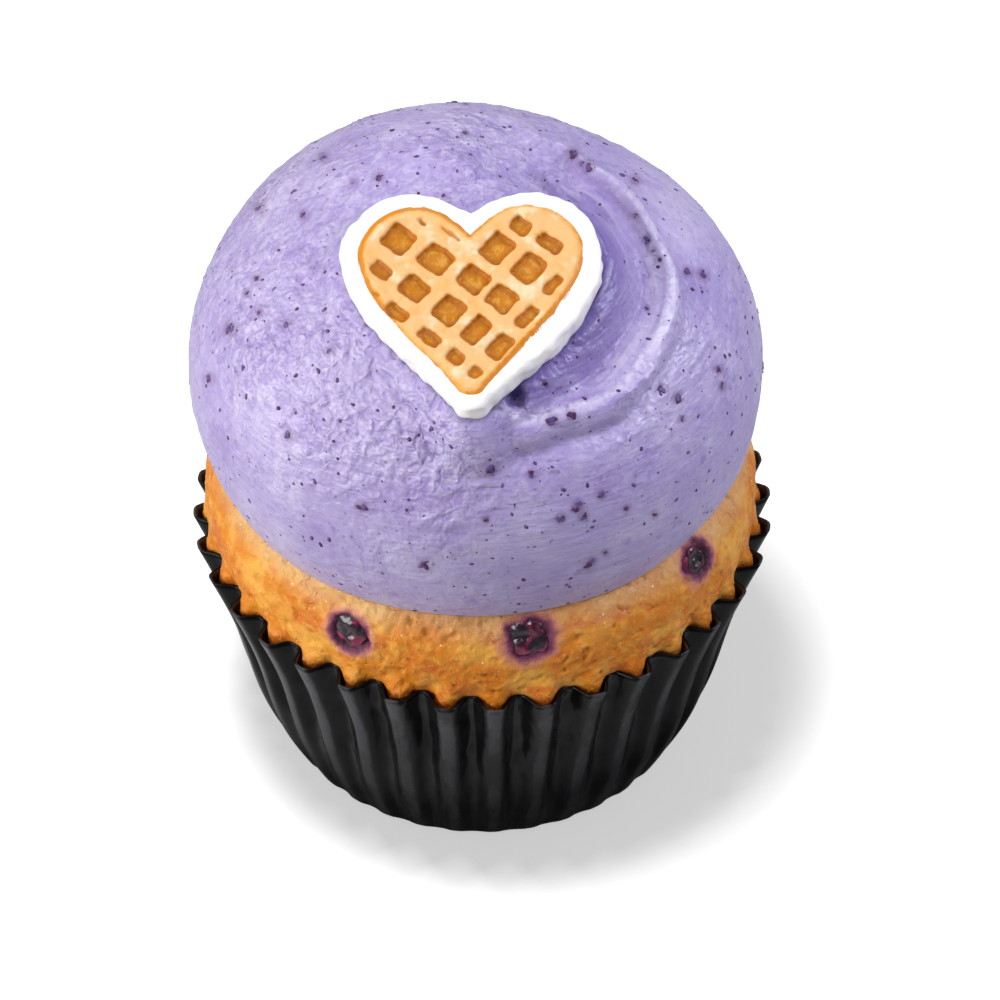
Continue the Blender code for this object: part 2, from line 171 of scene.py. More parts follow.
# Dark bits of berry skin in the frosting: x, y and z in millimetres, and size
BERRY_BITS = (
    (11.0, 7.4, 84.5, 0.75),
    (12.0, 5.5, 84.6, 0.40),
    (12.8, 5.2, 84.3, 0.60),
    (18.4, 5.6, 81.9, 0.60),
    (18.2, -1.5, 82.4, 0.45),
    (-1.9, 10.0, 85.6, 0.35),
    (24.3, -6.3, 77.8, 0.60),
    (26.1, -5.2, 76.4, 0.65),
    (20.1, -6.0, 80.8, 0.35),
    (20.8, -6.9, 80.2, 0.35),
    (19.1, -14.2, 79.0, 0.30),
    (7.2, -25.2, 77.2, 0.55),
    (8.1, -28.0, 74.1, 0.80),
    (10.2, -27.2, 74.1, 0.60),
    (22.7, -21.0, 71.2, 0.80),
    (20.9, -21.3, 72.9, 0.60),
    (23.3, -22.1, 69.0, 0.40),
    (-26.7, 7.1, 76.6, 0.75),
    (-18.9, 11.3, 80.9, 0.60),
    (-12.0, 2.3, 85.2, 0.60),
    (-20.9, -0.2, 81.6, 0.50),
    (-26.4, -6.4, 77.0, 0.45),
    (-29.7, -9.8, 72.2, 0.95),
    (-32.3, -11.8, 66.0, 0.70),
    (-15.0, 2.5, 84.2, 0.35),
    (-22.7, -14.6, 77.1, 0.60),
    (-17.5, -19.7, 77.6, 0.50),
    (-26.0, -11.1, 75.9, 0.35),
    (-27.6, -7.4, 75.6, 0.40),
    (0.9, -32.0, 70.1, 0.95),
    (9.0, -33.1, 63.4, 0.55),
    (11.0, -32.2, 64.5, 0.75),
    (11.6, -32.3, 63.0, 0.55),
    (13.7, -30.9, 65.1, 0.60),
    (16.7, -30.1, 62.2, 0.35),
    (20.1, -28.2, 59.1, 0.45),
    (-6.7, -34.3, 57.1, 0.85),
    (12.4, -32.0, 54.7, 0.75),
    (12.9, -31.9, 55.4, 0.40),
    (14.3, -31.4, 56.2, 0.30),
    (0.4, -34.2, 64.4, 0.40),
    (5.7, -31.8, 69.3, 0.60),
    (-13.9, -31.7, 64.0, 0.80),
    (-22.5, -24.4, 68.5, 0.60),
    (27.8, -14.8, 70.0, 0.60),
    (28.2, -15.9, 68.3, 0.50),
    (-10.0, -19.2, 81.0, 0.50),
)
BACK_BITS = 24
BIT_SHARDS = 6
BIT_THICKNESS = 0.15
SMALLEST_SPECK = 0.05 * MM
LARGEST_SPECK = 0.28 * MM
# Round pits in the frosting: x, y and z in millimetres, radius and depth
PITS = (
    (4.0, -26.8, 76.5, 1.70, 1.9),
    (7.8, -27.3, 75.0, 0.50, 0.6),
    (9.8, -26.7, 74.9, 0.40, 0.5),
    (7.2, -25.2, 77.2, 0.45, 0.6),
)
# Small raised flakes that the spatula left: points along each, in millimetres, and height
FLAKES = (
    (((20.5, -18.2, 75.8), (20.0, -19.7, 75.0), (18.9, -21.5, 74.4)), 0.55),
    (((14.6, -24.9, 74.3), (17.0, -23.3, 74.2), (19.1, -21.8, 74.0)), 0.35),
)
FLAKE_WIDTH = 0.45 * MM
# How far from a listed place its mark may fall on the surface
SIGHT_REACH = 9.0 * MM

# Hearts, in millimetres in their own plane: x to the right, y to the notch
SUGAR_OUTLINE = {
    "half_width": 15.1,
    "top": 13.7,
    "tip": -14.1,
    "notch": 11.2,
    "lobe": 7.0,
    "widest": 5.6,
    "taper": 0.42,
    "skew": 0.6,
}
WAFFLE_OUTLINE = {
    "half_width": 13.0,
    "top": 11.8,
    "tip": -12.5,
    "notch": 8.0,
    "lobe": 6.0,
    "widest": 5.8,
    "taper": 0.36,
    "skew": 0.0,
}
SKEW_MIDDLE = -5.0 * MM
SKEW_REACH = 7.0 * MM
HEART_TILT = 21.5
HEART_LEAN = -2.0
HEART_TURN = -0.8
HEART_SEAT = (-1.15 * MM, -18.0 * MM)
HEART_PROUD = 2.6 * MM
HEART_MIDDLE = (0.0, 1.5 * MM)
HEART_POINTS = 420
POCKET_TURN = -40.0
# Pockets of the waffle, in millimetres: x and y, width across and along, and share of the depth
POCKETS = (
    (-8.25, 7.53, 3.2, 3.2, 1.0),
    (-3.92, 4.92, 3.5, 3.2, 0.9),
    (0.32, 2.17, 3.1, 2.9, 1.0),
    (3.57, -0.38, 3.0, 2.85, 0.9),
    (3.08, 6.10, 2.85, 3.5, 1.0),
    (6.67, 3.46, 2.8, 3.55, 1.0),
    (-6.40, 1.11, 3.1, 2.6, 1.0),
    (-2.47, -1.81, 2.9, 3.2, 1.0),
    (0.68, -4.32, 2.15, 3.5, 0.95),
    (3.36, -6.53, 1.9, 3.2, 0.9),
    (-10.2, 3.56, 2.4, 1.6, 0.8),
    (-8.36, -1.92, 2.7, 1.4, 0.85),
    (-4.67, -5.20, 2.8, 1.5, 0.85),
    (-1.71, -7.75, 2.0, 1.45, 0.75),
    (0.56, -9.75, 1.3, 1.4, 0.6),
    (6.44, -2.78, 1.4, 3.0, 0.85),
    (9.40, 1.28, 1.2, 2.7, 0.7),
    (9.06, 6.67, 3.1, 1.5, 0.9),
    (5.80, 8.90, 2.2, 1.9, 0.8),
    (-5.47, 9.58, 1.25, 0.6, 0.5),
    (-2.28, 8.06, 3.0, 0.4, 0.4),
    (-10.7, 0.50, 1.0, 0.55, 0.4),
)
POCKET_CORNER = 0.45 * MM
# The waffle's edge is brownest at this bearing and opposite it
BROWN_BEARING = math.radians(142.0)


def srgb(red, green, blue):
    """A colour given by its 0 to 255 screen values, as Blender's linear one."""
    return tuple((value / 255.0) ** 2.2 for value in (red, green, blue))


def length(name, text, value):
    """A size in metres for the panel."""
    return FloatProperty(name=name, description=text, default=value, precision=5, unit="LENGTH")


def power(name, text, value):
    """A light's power in watts for the panel."""
    return FloatProperty(name=name, description=text, default=value, unit="POWER")


def number(name, text, value):
    """A plain number for the panel."""
    return FloatProperty(name=name, description=text, default=value)


def colour(name, text, value):
    """A colour for the panel."""
    return FloatVectorProperty(
        name=name, description=text, default=value, subtype="COLOR", min=0.0, max=1.0
    )


class CaseSettings(bpy.types.PropertyGroup):
    """The pleated paper case."""

    pleats: IntProperty(name="Pleats", description="Folds round the case", default=36, min=8)
    height: length("Height", "Height of the rim", 34.3 * MM)
    base_radius: length("Base radius", "Radius of the outer folds at the foot", 25.9 * MM)
    rim_radius: length("Rim radius", "Radius of the outer folds at the rim", 36.4 * MM)
    belly: length("Belly", "How far the wall bows out", 0.65 * MM)
    flare: length("Flare", "How far the rim turns out", 0.6 * MM)
    base_depth: length("Base pleats", "Depth of the pleats at the foot", 0.3 * MM)
    rim_depth: length("Rim pleats", "Depth of the pleats at the rim", 3.0 * MM)
    corner: length("Corner", "Roundness of the foot", 1.2 * MM)
    paper: length("Paper", "Thickness of the paper", 0.3 * MM)
    outside: colour("Outside", "Glossy black outside", (0.0025, 0.0025, 0.003))
    # Sheen: a painted sheen, grey laid on the folds where they catch the light, not rubbed wear
    sheen: colour("Sheen", "Rubbed grey of the folds", (0.044, 0.045, 0.052))
    inside: colour("Inside", "Dark brown inside", (0.022, 0.012, 0.005))


class CakeSettings(bpy.types.PropertyGroup):
    """The cake and the berries baked into it."""

    lumps: length("Lumps", "Depth of the crust's unevenness", 0.26 * MM)
    crumb: length("Crumb", "Depth of the crust's crumb", 0.12 * MM)
    crater: length("Craters", "Depth of the crust round a berry", 1.2 * MM)
    golden: colour("Golden", "Main colour of the crust", srgb(202, 117, 18))
    pale: colour("Pale", "Paler parts of the crust", srgb(224, 160, 66))
    browned: colour("Browned", "Browner parts of the crust", srgb(194, 96, 20))
    stain: colour("Stain", "Berry juice in the crust", srgb(118, 52, 86))
    berry: colour("Berry", "Skin of the berries", srgb(34, 14, 32))
    flesh: colour("Flesh", "Burst flesh of the berries", srgb(140, 28, 72))


class FrostingSettings(bpy.types.PropertyGroup):
    """The mound of frosting and its swirl."""

    radius: length("Radius", "Largest radius of the mound", 34.9 * MM)
    middle: length("Middle", "Height of the widest part", 58.9 * MM)
    rise: length("Rise", "Height of the top over the widest part", 27.9 * MM)
    lip: length("Lip", "Height of the swirl's lip", 1.75 * MM)
    crease: length("Crease", "Depth of the crease below the lip's end", 0.9 * MM)
    terrace: length("Terrace", "Height of the second ridge inside the lip", 0.5 * MM)
    bowl: length("Bowl", "Depth of the hollow inside the lip", 3.1 * MM)
    strokes: length("Strokes", "Depth of the spatula's strokes", 0.20 * MM)
    wrinkles: length("Wrinkles", "Depth of the small wrinkles", 0.115 * MM)
    lavender: colour("Lavender", "Main colour of the frosting", srgb(163, 149, 199))
    # Pale and plum are the cream's own paler and pinker tones, and also serve as painted highlight on
    # crests and painted shade in hollows
    pale: colour("Pale", "Paler parts of the frosting", srgb(205, 198, 224))
    plum: colour("Plum", "Darker, pinker parts of the frosting", srgb(132, 110, 176))
    specks: IntProperty(name="Specks", description="Fine berry specks", default=3200, min=0)
    speck: colour("Speck", "Colour of the berry specks", srgb(96, 74, 136))
    bit: colour("Bit", "Redder colour of the larger bits", srgb(84, 36, 84))


class HeartSettings(bpy.types.PropertyGroup):
    """The sugar heart and the waffle heart."""

    sugar_thickness: length("Sugar thickness", "Thickness of the sugar heart", 4.1 * MM)
    waffle_thickness: length("Waffle thickness", "Thickness of the waffle heart", 1.5 * MM)
    proud: length("Waffle proud", "How far the waffle stands over the sugar", 0.10 * MM)
    depth: length("Pocket depth", "Depth of the waffle's pockets", 0.75 * MM)
    sugar: colour("Sugar", "The white sugar", (0.95, 0.92, 0.895))
    ridge: colour("Ridges", "The waffle's ridges", srgb(222, 174, 116))
    cream: colour("Cream", "The palest parts of the ridges", srgb(224, 204, 168))
    toasted: colour("Toasted", "The waffle's browned edge", srgb(198, 122, 18))
    caramel: colour("Caramel", "The pockets", srgb(186, 116, 18))


class StageSettings(bpy.types.PropertyGroup):
    """Floor and studio light."""

    floor: colour("Floor", "The pale floor", (0.88, 0.88, 0.88))
    bounce: number("Bounce", "Share of light the floor throws back", 0.8)
    glow: number("Glow", "Light that the floor itself gives the camera", 0.545)
    overhead: power("Overhead", "Power of the light on the floor alone", 3.0)
    sky: number("Sky", "Strength of the even light", 0.12)
    key: power("Key", "Power of the main light", 1.35)
    side: power("Side", "Power of the light low on the left", 2.0)
    front: power("Front", "Power of the light low in front", 2.1)
    fill: power("Fill", "Power of the light on the right", 2.7)
    rear: power("Rear", "Power of the light behind", 0.9)


def smoothstep(low, high, value):
    """0 below low, 1 above high, and a smooth ramp between them."""
    share = np.clip((value - low) / (high - low), 0.0, 1.0)
    return share * share * (3.0 - 2.0 * share)


def hill(distance, width):
    """1 at no distance, falling off smoothly over a width."""
    return np.exp(-((distance / width) ** 2))


def polar(angle, radius, height):
    """Points at an angle from the front."""
    angle, radius, height = np.broadcast_arrays(angle, radius, height)
    return np.stack((radius * np.sin(angle), -radius * np.cos(angle), height), axis=-1)


def noise_at(points, size, shift=0.0):
    """Smooth noise from -1 to 1 at each point, with lumps of a size in metres."""
    return np.array([noise.noise(place) for place in (points / size + shift).tolist()])


def ridges_at(points, size, shift=0.0):
    """Noise with sharp crests: 1 on a crest and 0 far from one."""
    return 1.0 - np.minimum(1.0, 2.5 * np.abs(noise_at(points, size, shift)))


def ring_layout(counts):
    """For rings of so many points each: every point's angle, and the number of its ring."""
    angles = np.concatenate([np.arange(count) * (TURN / count) for count in counts])
    rows = np.repeat(np.arange(len(counts)), counts)
    return angles, rows


def ring_faces(counts):
    """Faces between rings. A ring has as many points as the one before, half or twice as many."""
    faces = []
    low = 0
    for count, following in zip(counts, counts[1:]):
        high = low + count
        steps = min(count, following)
        for i in range(steps):
            j = (i + 1) % steps
            if count == following:
                faces.append((low + i, low + j, high + j, high + i))
            elif count > following:
                middle, end = low + 2 * i + 1, low + (2 * i + 2) % count
                faces.append((low + 2 * i, middle, high + i))
                faces.append((middle, high + j, high + i))
                faces.append((middle, end, high + j))
            else:
                middle, end = high + 2 * i + 1, high + (2 * i + 2) % following
                faces.append((low + i, middle, high + 2 * i))
                faces.append((low + i, low + j, middle))
                faces.append((low + j, end, middle))
        low = high
    return faces


def closed_rings(counts, points, low_point, high_point):
    """Points and faces of rings that are closed by a fan at both ends."""
    faces = ring_faces(counts)
    total = len(points)
    first, last = counts[0], counts[-1]
    faces += [((i + 1) % first, i, total) for i in range(first)]
    start = total - last
    faces += [(start + i, start + (i + 1) % last, total + 1) for i in range(last)]
    return np.vstack((points, [low_point, high_point])), faces


def mesh_from(name, points, faces, attributes=None):
    """A smooth mesh with a number on each point for each attribute."""
    mesh = bpy.data.meshes.new(name)
    mesh.from_pydata(np.asarray(points).tolist(), [], faces)
    mesh.shade_smooth()
    for key, values in (attributes or {}).items():
        values = np.asarray(values, np.float32)
        if values.ndim == 2:
            layer = mesh.attributes.new(key, "FLOAT_VECTOR", "POINT")
            layer.data.foreach_set("vector", values.ravel())
        else:
            layer = mesh.attributes.new(key, "FLOAT", "POINT")
            layer.data.foreach_set("value", values)
    return mesh


def finish_piece(name, mesh, materials, node=None):
    """Makes the object of a finished mesh, and lets it ride with the cupcake."""
    piece = bpy.data.objects.new(name, mesh)
    bpy.context.scene.collection.objects.link(piece)
    mesh.materials.clear()
    for material in materials:
        mesh.materials.append(material)
    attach(piece, BODY)
    if node:
        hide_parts(node)
    return piece


class Sum:
    """A number in a node tree. Arithmetic on it adds Math nodes to the tree."""

    def __init__(self, tree, socket):
        self.tree = tree
        self.socket = socket

    def math(self, operation, *others):
        """A Math node with this number as its first value."""
        node = self.tree.nodes.new("ShaderNodeMath")
        node.operation = operation
        for place, value in zip(node.inputs, (self, *others)):
            plug(self.tree, value, place)
        return Sum(self.tree, node.outputs[0])

    def __add__(self, other):
        return self.math("ADD", other)

    def __sub__(self, other):
        return self.math("SUBTRACT", other)

    def __mul__(self, other):
        return self.math("MULTIPLY", other)

    def __truediv__(self, other):
        return self.math("DIVIDE", other)

    def ramp(self, low, high, start=0.0, end=1.0, kind="SMOOTHSTEP"):
        """A smooth ramp from start to end while this number goes from low to high."""
        node = self.tree.nodes.new("ShaderNodeMapRange")
        node.interpolation_type = kind
        for place, value in zip(node.inputs, (self, low, high, start, end)):
            plug(self.tree, value, place)
        return Sum(self.tree, node.outputs[0])


def plug(tree, value, place):
    """Links a number, a socket or a plain value to an input."""
    if isinstance(value, Sum):
        tree.links.new(value.socket, place)
    elif isinstance(value, bpy.types.NodeSocket):
        tree.links.new(value, place)
    else:
        place.default_value = value


def add_node(tree, kind, inputs=None, **settings):
    """A node with its settings, and its inputs linked or set."""
    node = tree.nodes.new(kind)
    for key, value in settings.items():
        setattr(node, key, value)
    for key, value in (inputs or {}).items():
        plug(tree, value, node.inputs[key])
    return node


def open_tree(name, inputs):
    """A Geometry Nodes tree with its named inputs, each of a kind, and those inputs' sockets."""
    tree = bpy.data.node_groups.new(name, "GeometryNodeTree")
    for title, kind in inputs.items():
        tree.interface.new_socket(title, in_out="INPUT", socket_type="NodeSocket" + kind)
    tree.interface.new_socket("Geometry", in_out="OUTPUT", socket_type="NodeSocketGeometry")
    return tree, add_node(tree, "NodeGroupInput").outputs


def close_tree(tree, geometry, material):
    """Ends a tree: its faces are made smooth, its instances real, and all of it is painted."""
    smooth = add_node(tree, "GeometryNodeSetShadeSmooth", {0: geometry})
    real = add_node(tree, "GeometryNodeRealizeInstances", {0: smooth.outputs[0]})
    inputs = {"Geometry": real.outputs[0], "Material": material}
    painted = add_node(tree, "GeometryNodeSetMaterial", inputs)
    tree.links.new(painted.outputs[0], add_node(tree, "NodeGroupOutput").inputs[0])


def random_number(tree, seed):
    """A number from 0 to 1, drawn for each point."""
    node = add_node(tree, "FunctionNodeRandomValue", {"Seed": seed}, data_type="FLOAT")
    return Sum(tree, [slot for slot in node.outputs if slot.type == "VALUE" and slot.enabled][0])


class Finish:
    """A Principled material under construction."""

    def __init__(self, name, **values):
        self.material = bpy.data.materials.new(name)
        self.material.use_nodes = True
        self.tree = self.material.node_tree
        self.shader = self.tree.nodes["Principled BSDF"]
        self.place = add_node(self.tree, "ShaderNodeTexCoord").outputs["Object"]
        for key, value in values.items():
            socket = key.replace("_", " ").title().replace("Ior", "IOR")
            self.shader.inputs[socket].default_value = value

    def stretched(self, scale, turn=(0.0, 0.0, 0.0), vector=None):
        """The piece's own coordinates, or another vector, scaled along each axis."""
        source = self.place if vector is None else vector
        inputs = {"Vector": source, "Scale": scale, "Rotation": turn}
        return add_node(self.tree, "ShaderNodeMapping", inputs).outputs[0]

    def noise(self, size, detail=2.0, roughness=0.5, distortion=0.0, vector=None):
        """Noise with lumps of a size in metres, or in the vector's own units."""
        source = self.place if vector is None else vector
        inputs = {
            "Vector": source,
            "Scale": 1.0 / size,
            "Detail": detail,
            "Roughness": roughness,
            "Distortion": distortion,
        }
        return Sum(self.tree, add_node(self.tree, "ShaderNodeTexNoise", inputs).outputs[0])

    def cells(self, size):
        """Distance to the nearest of scattered points that lie about a size apart."""
        inputs = {"Vector": self.place, "Scale": 1.0 / size, "Randomness": 1.0}
        return Sum(self.tree, add_node(self.tree, "ShaderNodeTexVoronoi", inputs).outputs["Distance"])

    def attribute(self, name):
        """A number that the mesh holds for each point."""
        node = add_node(self.tree, "ShaderNodeAttribute", attribute_name=name)
        return Sum(self.tree, node.outputs["Fac"])

    def vector_attribute(self, name):
        """A vector that the mesh holds for each point."""
        return add_node(self.tree, "ShaderNodeAttribute", attribute_name=name).outputs["Vector"]

    def part_of(self, vector, axis):
        """One number of a vector."""
        node = add_node(self.tree, "ShaderNodeSeparateXYZ", {0: vector})
        return Sum(self.tree, node.outputs[axis])

    def blend(self, first, second, share):
        """Two colours mixed by a share."""
        node = add_node(self.tree, "ShaderNodeMix", data_type="RGBA")
        for key, value in (("A", first), ("B", second)):
            place = [slot for slot in node.inputs if slot.name == key and slot.type == "RGBA"][0]
            plug(self.tree, value if isinstance(value, bpy.types.NodeSocket) else (*value, 1.0), place)
        plug(self.tree, share, node.inputs[0])
        return [slot for slot in node.outputs if slot.type == "RGBA"][0]

    def layers(self, base, *layers):
        """A colour with others laid over it in turn, each by its share."""
        for over, share in layers:
            base = self.blend(base, over, share)
        return base

    def bumps(self, *heights):
        """Bumps on top of one another: each a height, and its depth in metres."""
        inputs = {}
        for height, depth in heights:
            inputs.update({"Height": height, "Distance": depth, "Strength": 1.0})
            inputs["Normal"] = add_node(self.tree, "ShaderNodeBump", inputs).outputs[0]
        return inputs["Normal"]

    def done(self, base, roughness, normal=None):
        """Links the finished colour, roughness and normal."""
        for key, value in (("Base Color", base), ("Roughness", roughness), ("Normal", normal)):
            if value is not None:
                plug(self.tree, value, self.shader.inputs[key])
        return self.material


def black_paper(case):
    """Glossy black greaseproof paper, with a painted grey sheen along the folds that fades downwards."""
    finish = Finish("black_paper", specular_ior_level=0.12)
    sheen_streaks = finish.noise(3.0 * MM, 3.0, 0.6, vector=finish.stretched((1.0, 1.0, 0.3)))
    fibre = finish.noise(0.35 * MM, 3.0, 0.6)
    ripples = finish.noise(5.0 * MM, 2.0, vector=finish.stretched((1.0, 1.0, 0.5)))
    wave = finish.attribute("wave") + (sheen_streaks - 0.5) * 0.9
    # Painted sheen: brightest near the rim and fading downwards, broad on the outer folds and a thin
    # stripe on the inner ones
    high = finish.part_of(finish.place, "Z").ramp(0.25 * case.height, case.height, 0.3, 1.1)
    outer = wave.ramp(0.55, 1.0) * high
    inner = wave.ramp(-0.8, -1.15) * 0.3
    base = finish.blend(case.outside, case.sheen, (outer + inner) * sheen_streaks.ramp(0.35, 0.6, 0.35, 1.0))
    normal = finish.bumps((ripples, 0.35 * MM), (fibre, 0.012 * MM))
    return finish.done(base, sheen_streaks.ramp(0.3, 0.7, 0.14, 0.28), normal)


def brown_paper(case):
    """The case's dark inside, soaked with butter."""
    finish = Finish("brown_paper", specular_ior_level=0.45)
    soaked = finish.noise(2.5 * MM, 3.0)
    paler = tuple(2.2 * value for value in case.inside)
    base = finish.blend(case.inside, paler, soaked.ramp(0.4, 0.7))
    return finish.done(base, soaked.ramp(0.3, 0.7, 0.35, 0.6), finish.bumps((soaked, 0.1 * MM)))


def golden_crumb(cake):
    """Baked crust: golden with browner and paler patches, berry stains, pores and fine crumb, with
    painted shade low in the case's folds and pale painted highlights along fine wrinkle lines.
    """
    finish = Finish(
        "golden_crumb",
        specular_ior_level=0.4,
        subsurface_weight=0.06,
        subsurface_scale=0.001,
        subsurface_radius=(1.0, 0.5, 0.2),
    )
    patches = finish.noise(8.0 * MM, 2.0, 0.5)
    leaning = finish.stretched((1.0, 1.0, 1.3), (0.4, 0.2, 0.0))
    browned = finish.noise(4.6 * MM, 3.0, 0.5, vector=leaning)
    spots = finish.noise(1.9 * MM, 1.0, 0.5, 0.4)
    crumb = finish.noise(0.9 * MM, 4.0, 0.62, 1.2)
    fine = finish.noise(0.35 * MM, 2.0, 0.5, 0.6)
    greyed = finish.attribute("under") * patches.ramp(0.3, 0.7, 0.4, 1.0)
    grains = finish.cells(2.0 * MM).ramp(0.075, 0.045)
    stain = finish.attribute("stain")
    edge = stain + (crumb - 0.5) * 0.35
    pores = finish.noise(0.8 * MM, 1.0).ramp(0.34, 0.24)
    veins = (finish.noise(1.5 * MM, 1.0, 0.5, 1.6) - 0.5).math("ABSOLUTE").ramp(0.035, 0.0)
    base = finish.layers(
        cake.golden,
        (cake.pale, patches.ramp(0.48, 0.64, 0.0, 0.9)),
        (cake.browned, browned.ramp(0.5, 0.66, 0.0, 0.9)),
        (cake.pale, spots.ramp(0.52, 0.68, 0.0, 0.45)),
        (cake.browned, spots.ramp(0.42, 0.26, 0.0, 0.4)),
        (cake.pale, crumb.ramp(0.55, 0.8, 0.0, 0.35)),
        (cake.browned, crumb.ramp(0.42, 0.2, 0.0, 0.25)),
        # Painted shade on the cake's side low in the folds of the case
        (srgb(140, 62, 16), finish.attribute("shade") * 0.85),
        (srgb(206, 168, 120), greyed * 0.75),
        (srgb(250, 228, 190), grains * 0.85),
        (srgb(204, 136, 106), edge.ramp(0.04, 0.4, 0.0, 0.75)),
        (cake.stain, edge.ramp(0.28, 0.85)),
        (srgb(54, 18, 42), edge.ramp(0.72, 1.0)),
        # Pale along the fine wrinkle lines, away from the stains: painted highlights
        (cake.pale, veins * stain.ramp(0.3, 0.0) * 0.55),
    )
    normal = finish.bumps(
        (spots, 0.4 * MM),
        (crumb, 0.12 * MM),
        (veins, 0.03 * MM),
        (fine, 0.03 * MM),
        (pores * -1.0, 0.08 * MM),
    )
    return finish.done(base, crumb.ramp(0.3, 0.7, 0.62, 0.42), normal)


def berry_skin(cake):
    """Baked blueberry: almost black skin, burst to magenta flesh, with a bloom and a wet shine."""
    finish = Finish("berry_skin", specular_ior_level=0.3, coat_weight=0.9, coat_roughness=0.07)
    burst = finish.noise(1.5 * MM, 1.0, 0.5, 0.8)
    bloom = finish.noise(1.1 * MM, 2.0, 0.5, 1.5)
    base = finish.layers(
        cake.berry,
        (cake.flesh, (burst + finish.attribute("low") * 0.3).ramp(0.46, 0.78)),
        (srgb(160, 120, 146), bloom.ramp(0.6, 0.76, 0.0, 0.16)),
    )
    normal = finish.bumps((burst, 0.7 * MM), (bloom, 0.1 * MM))
    return finish.done(base, bloom.ramp(0.35, 0.7, 0.28, 0.5), normal)


def lavender_cream(frosting):
    """Soft frosting: spatula strokes, small wrinkles, faint specks and bluer and pinker patches, with
    painted highlights on the crests and painted shade in the hollows of its relief.
    """
    finish = Finish(
        "lavender_cream",
        specular_ior_level=0.6,
        sheen_weight=0.12,
        sheen_roughness=0.4,
        subsurface_weight=0.22,
        subsurface_scale=0.0025,
        subsurface_radius=(0.7, 0.5, 1.0),
    )
    swirl = finish.vector_attribute("swirl")
    inside = finish.part_of(swirl, "Z")
    clouds = finish.noise(9.0 * MM, 3.0, 0.55)
    lumps = finish.noise(2.3 * MM, 1.0, 0.5, 0.7)
    worms = finish.noise(1.0 * MM, 1.0, 0.4, 0.9)
    pads = (finish.noise(1.5 * MM, 1.0, 0.4, 0.8) - 0.5).math("ABSOLUTE")
    laps = finish.noise(0.9 * MM, 1.0, 0.4, 0.6, finish.stretched((0.32, 0.32, 1.5)))
    strokes = finish.noise(1.5, 1.5, 0.45, 0.2, finish.stretched((1.0, 0.16, 0.0), vector=swirl))
    rough = finish.attribute("rough")
    faint = finish.cells(1.7 * MM).ramp(0.16, 0.06) * finish.noise(4.0 * MM).ramp(0.42, 0.55)
    blots = finish.cells(4.5 * MM).ramp(0.2, 0.08) * worms.ramp(0.6, 0.45)
    base = finish.layers(
        frosting.lavender,
        (frosting.pale, clouds.ramp(0.45, 0.72, 0.0, 0.4)),
        (frosting.plum, clouds.ramp(0.46, 0.28, 0.0, 0.5)),
        # Paler on the wrinkles' crests, plum in their hollows and in the creases between pads: painted
        # highlight and painted shade that follow the bumps
        (frosting.pale, worms.ramp(0.52, 0.68, 0.0, 0.4) * rough),
        (frosting.plum, worms.ramp(0.47, 0.32, 0.0, 0.5) * rough),
        (frosting.plum, lumps.ramp(0.47, 0.3, 0.0, 0.4) * rough),
        (frosting.plum, pads.ramp(0.04, 0.0, 0.0, 0.4) * rough),
        # Painted shade deep in the bowl, and the heart's painted shadow on the cream beside it
        (srgb(94, 76, 150), finish.attribute("hollow") * 0.85),
        # Pale along the lip's crest: painted highlight
        (frosting.pale, finish.attribute("crest") * worms.ramp(0.3, 0.6, 0.4, 1.0)),
        # Plum in the strokes' furrows and pale on their ridges: painted shade and painted highlight
        (frosting.plum, strokes.ramp(0.48, 0.3) * inside * 0.45),
        (frosting.pale, strokes.ramp(0.54, 0.7) * inside * 0.3),
        (frosting.speck, faint * 0.55),
        (frosting.plum, blots * 0.6),
        (frosting.bit, finish.attribute("stain") * worms.ramp(0.3, 0.6, 0.2, 0.6)),
    )
    normal = finish.bumps(
        (lumps * rough, 0.95 * MM),
        (worms * rough, 0.34 * MM),
        (pads.ramp(0.0, 0.3) * rough, 0.07 * MM),
        (laps, 0.16 * MM),
        (strokes * inside, 0.9 * MM),
    )
    return finish.done(base, worms.ramp(0.3, 0.7, 0.48, 0.36), normal)


def berry_speck(frosting):
    """Bits of blueberry skin: purple to maroon, with a damp shine."""
    finish = Finish("berry_speck", specular_ior_level=0.5)
    tone = finish.noise(1.4 * MM, 2.0, 0.6)
    base = finish.layers(
        frosting.speck,
        (frosting.bit, tone.ramp(0.42, 0.62)),
        (srgb(40, 22, 58), finish.noise(0.5 * MM).ramp(0.45, 0.7, 0.0, 0.8)),
    )
    return finish.done(base, tone.ramp(0.3, 0.7, 0.35, 0.6), finish.bumps((tone, 0.1 * MM)))


def white_sugar(heart):
    """Smooth white sugar, softly uneven, with the faintest blush."""
    finish = Finish(
        "white_sugar",
        specular_ior_level=0.4,
        subsurface_weight=0.4,
        subsurface_scale=0.003,
        subsurface_radius=(1.0, 0.8, 0.7),
    )
    soft = finish.noise(2.5 * MM, 3.0, 0.5)
    grain = finish.noise(0.3 * MM, 2.0)
    base = finish.blend(heart.sugar, srgb(246, 234, 234), soft.ramp(0.45, 0.75, 0.0, 0.8))
    normal = finish.bumps((soft, 0.3 * MM), (grain, 0.012 * MM))
    return finish.done(base, soft.ramp(0.3, 0.7, 0.5, 0.36), normal)


